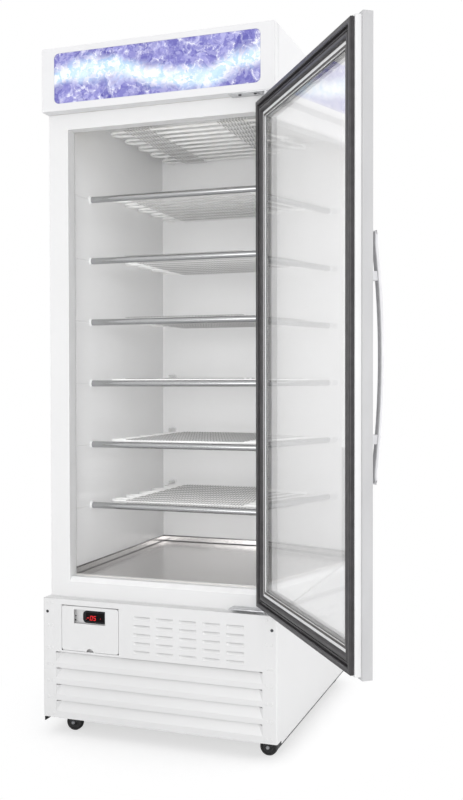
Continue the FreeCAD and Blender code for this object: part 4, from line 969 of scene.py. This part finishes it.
# ------------------------------------------------------------------ handle
# A long bowed bar of light gray moulded plastic, with a gray strip along its inner side that is painted
# shade, for the shadow on the side facing the door.
# It stands on two cast blocks that are fixed to the outer frame near the free edge.
handle_plastic = finish("handle_plastic", "#DCDCDE", 0.3)
vary(handle_plastic, 25.0, "#D6D6D8", "#E2E2E4", (1, 1, 0.3))
dress(handle_plastic, "handle_posts")
soften(0.001, "handle_posts")
grip_x, grip_mid, grip_half = -0.310, 1.0845, 0.266
stand, bow, arc_half = 0.423, 0.0145, 0.236
arc = (arc_half ** 2 + bow ** 2) / (2 * bow)
tip_length, tip_inset = 0.004, 0.0022


def bowed(shape, half_width, near, far, corner, length):
    """Loft a rounded section along the bow, its ends drawn in."""
    rings = []
    for i in range(61):
        offset = -length + 2 * length * i / 60
        rise = math.sqrt(arc ** 2 - offset ** 2) - arc + bow if abs(offset) < arc_half else 0.0
        tip = max(0.0, abs(offset) - (length - tip_length)) / tip_length
        inset = tip_inset * (1 - math.sqrt(max(0.0, 1 - tip ** 2)))
        y = (-stand - rise - far + inset + corner, -stand - rise - near - inset - corner)
        x = half_width - inset - corner
        ring = []
        for turn, (x, y_corner) in enumerate(((x, y[1]), (-x, y[1]), (-x, y[0]), (x, y[0]))):
            for angle in [math.pi / 2 * (turn + k / 4) for k in range(5)]:
                place = (grip_x + x + corner * math.cos(angle), y_corner + corner * math.sin(angle))
                ring.append(shape.verts.new((*place, grip_mid + offset)))
        rings.append(ring)
    skinned(shape, rings, True, True)


shape = bmesh.new()
bowed(shape, 0.009, 0.0, 0.007, 0.0024, grip_half)
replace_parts(on_door("bowed_bar", shape, handle_plastic), "handle_bar")
# A gray skin on the bar's inner side: painted shade where the bar faces the door.
bar_painted_shade = finish("bar_painted_shade", "#B5B5B7", 0.6)
vary(bar_painted_shade, 70.0, "#B0B0B2", "#BBBBBD")
shape = bmesh.new()
bowed(shape, 0.0084, -0.0009, 0.0028, 0.0009, grip_half - 0.003)
on_door("bar_shade_strip", shape, bar_painted_shade)

# ------------------------------------------------------------------ hinges
# Plated steel pivot plates at the top and the bottom of the opening, screwed to the cabinet.
# Each carries a collar and a pin that stands in the door.
pivot_plate = finish("pivot_plate", "#C9CACC", 0.32, 0.8)
vary(pivot_plate, 60.0, "#B9BABC", "#D6D7D9")
hinge_x, hinge_y = pivot[:2]
bracket_low, bracket_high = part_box("hinge_brackets")
left, right, near, back = bracket_low[0], bracket_high[0], bracket_low[1], bracket_high[1]
flange, lower_seat, upper_seat = 0.003, 0.411, bracket_high[2] - 0.003
shape = bmesh.new()
block(shape, (left, near, 0.408), (right, back, lower_seat), 0.0007)
block(shape, (left, back - flange, bracket_low[2]), (right, back, 0.409), 0.0005)
block(shape, (left, near, upper_seat), (right, back, bracket_high[2]), 0.0007)
nut = [(0.0062, 0.0), (0.0062, 0.0024), (0.0052, 0.003), (0.0, 0.003)]
nut_place = (0.301, hinge_y + 0.012)
for seat, way, reach, under in ((lower_seat, 1, 0.0027, flange), (upper_seat, -1, 0.0197, 0.0)):
    pin_end = reach + 0.0145
    collar = [(0.0075, -0.0005), (0.0075, reach - 0.0006), (0.0069, reach), (0.004, reach), (0.004, pin_end),
              (0.0, pin_end)]
    turned(shape, collar, (hinge_x, hinge_y, seat), (0, 0, way), 28)
    turned(shape, nut, (*nut_place, seat - under), (0, 0, -1), 6)
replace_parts(piece("pivot_plates", shape, "cabinet", pivot_plate), "hinge_brackets")
shape = bmesh.new()
for x in (0.236, 0.250, 0.284):
    screw(shape, (x, back - flange, 0.404), (0, -1, 0), 0.0030)
for x in (0.2497, 0.294):
    screw(shape, (x, -0.383, upper_seat), (0, 0, -1), 0.0046)
piece("pivot_screws", shape, "cabinet", dark_zinc)

# ------------------------------------------------------------------ controls
# A hinged white cover with a window over the dark display of the controller. Three soft
# keys stand on the plate behind it.
cover_plastic = enamel("cover_plastic", "#E0E0E0", "#DEDEDE", 0.3)
dress(cover_plastic, "control_flap")
soften(0.0004, "control_flap")
case_plastic = finish("case_plastic", "#1C1D1F", 0.45)
vary(case_plastic, 90.0, "#17181A", "#26272A")
tune(case_plastic, {"Specular IOR Level": 0.2})
dress(case_plastic, "controller_case")
soften(0.0008, "controller_case", "key_1", "key_2", "key_3")
dark_filter = finish("dark_filter", "#0C0708", 0.3)
vary(dark_filter, 30.0, "#0A0506", "#100809")
tune(dark_filter, {"Specular IOR Level": 0.12})
dress(dark_filter, "display_lens")
lit_red = finish("lit_red", "#C81018", 0.4)
vary(lit_red, 300.0, "#B50E16", "#D8141C")
tune(lit_red, {"Emission Color": linear("#FF1A20"), "Emission Strength": 0.55})
lens_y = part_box("display_lens")[0][1]
proud, slant = 0.0003, 0.16
shape = bmesh.new()


def segment(low, high, foot):
    """One bar of a figure, slanted, just proud of the filter."""
    corners = [(low[0], low[1]), (high[0], low[1]), (high[0], high[1]), (low[0], high[1])]
    loops = [[shape.verts.new((x + (z - foot) * slant, lens_y - y, z)) for x, z in corners]
             for y in (0.0, proud)]
    skinned(shape, loops, True)
    shape.faces.new(loops[1])


figures = {"-": "g", "0": "abcdef", "5": "afgcd"}
foot, tall, wide, stroke = 0.3415, 0.0135, 0.0080, 0.0017
end_gap, mid_gap, lamp_dot = 0.0006, 0.0003, 0.0014
level = {"d": foot, "g": foot + tall / 2 - stroke / 2, "a": foot + tall - stroke}
for x, figure in ((-0.2235, "-"), (-0.2125, "0"), (-0.2020, "5")):
    for name in figures[figure]:
        if name in level:
            segment((x + end_gap, level[name]), (x + wide - end_gap, level[name] + stroke), foot)
        else:
            start = foot + 0.0005 if name in "ec" else foot + tall / 2 + mid_gap
            side = x if name in "ef" else x + wide - stroke
            segment((side, start), (side + stroke, start + tall / 2 - 0.0008), foot)
for x, z in ((-0.1790, 0.3470), (-0.2245, 0.3430)):
    segment((x, z), (x + lamp_dot, z + lamp_dot), z)
piece("lit_figures", shape, "cabinet", lit_red)
plate_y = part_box("control_plate")[0][1]
places = [(-0.2520, plate_y, 0.3547), (-0.2535, plate_y, 0.3428)]
screws("plate_screws", places, (0, -1, 0), 0.0024)
key_rubber = finish("key_rubber", "#6F7276", 0.55)
vary(key_rubber, 90.0, "#64676B", "#7B7E82")
dress(key_rubber, "key_1", "key_2", "key_3")
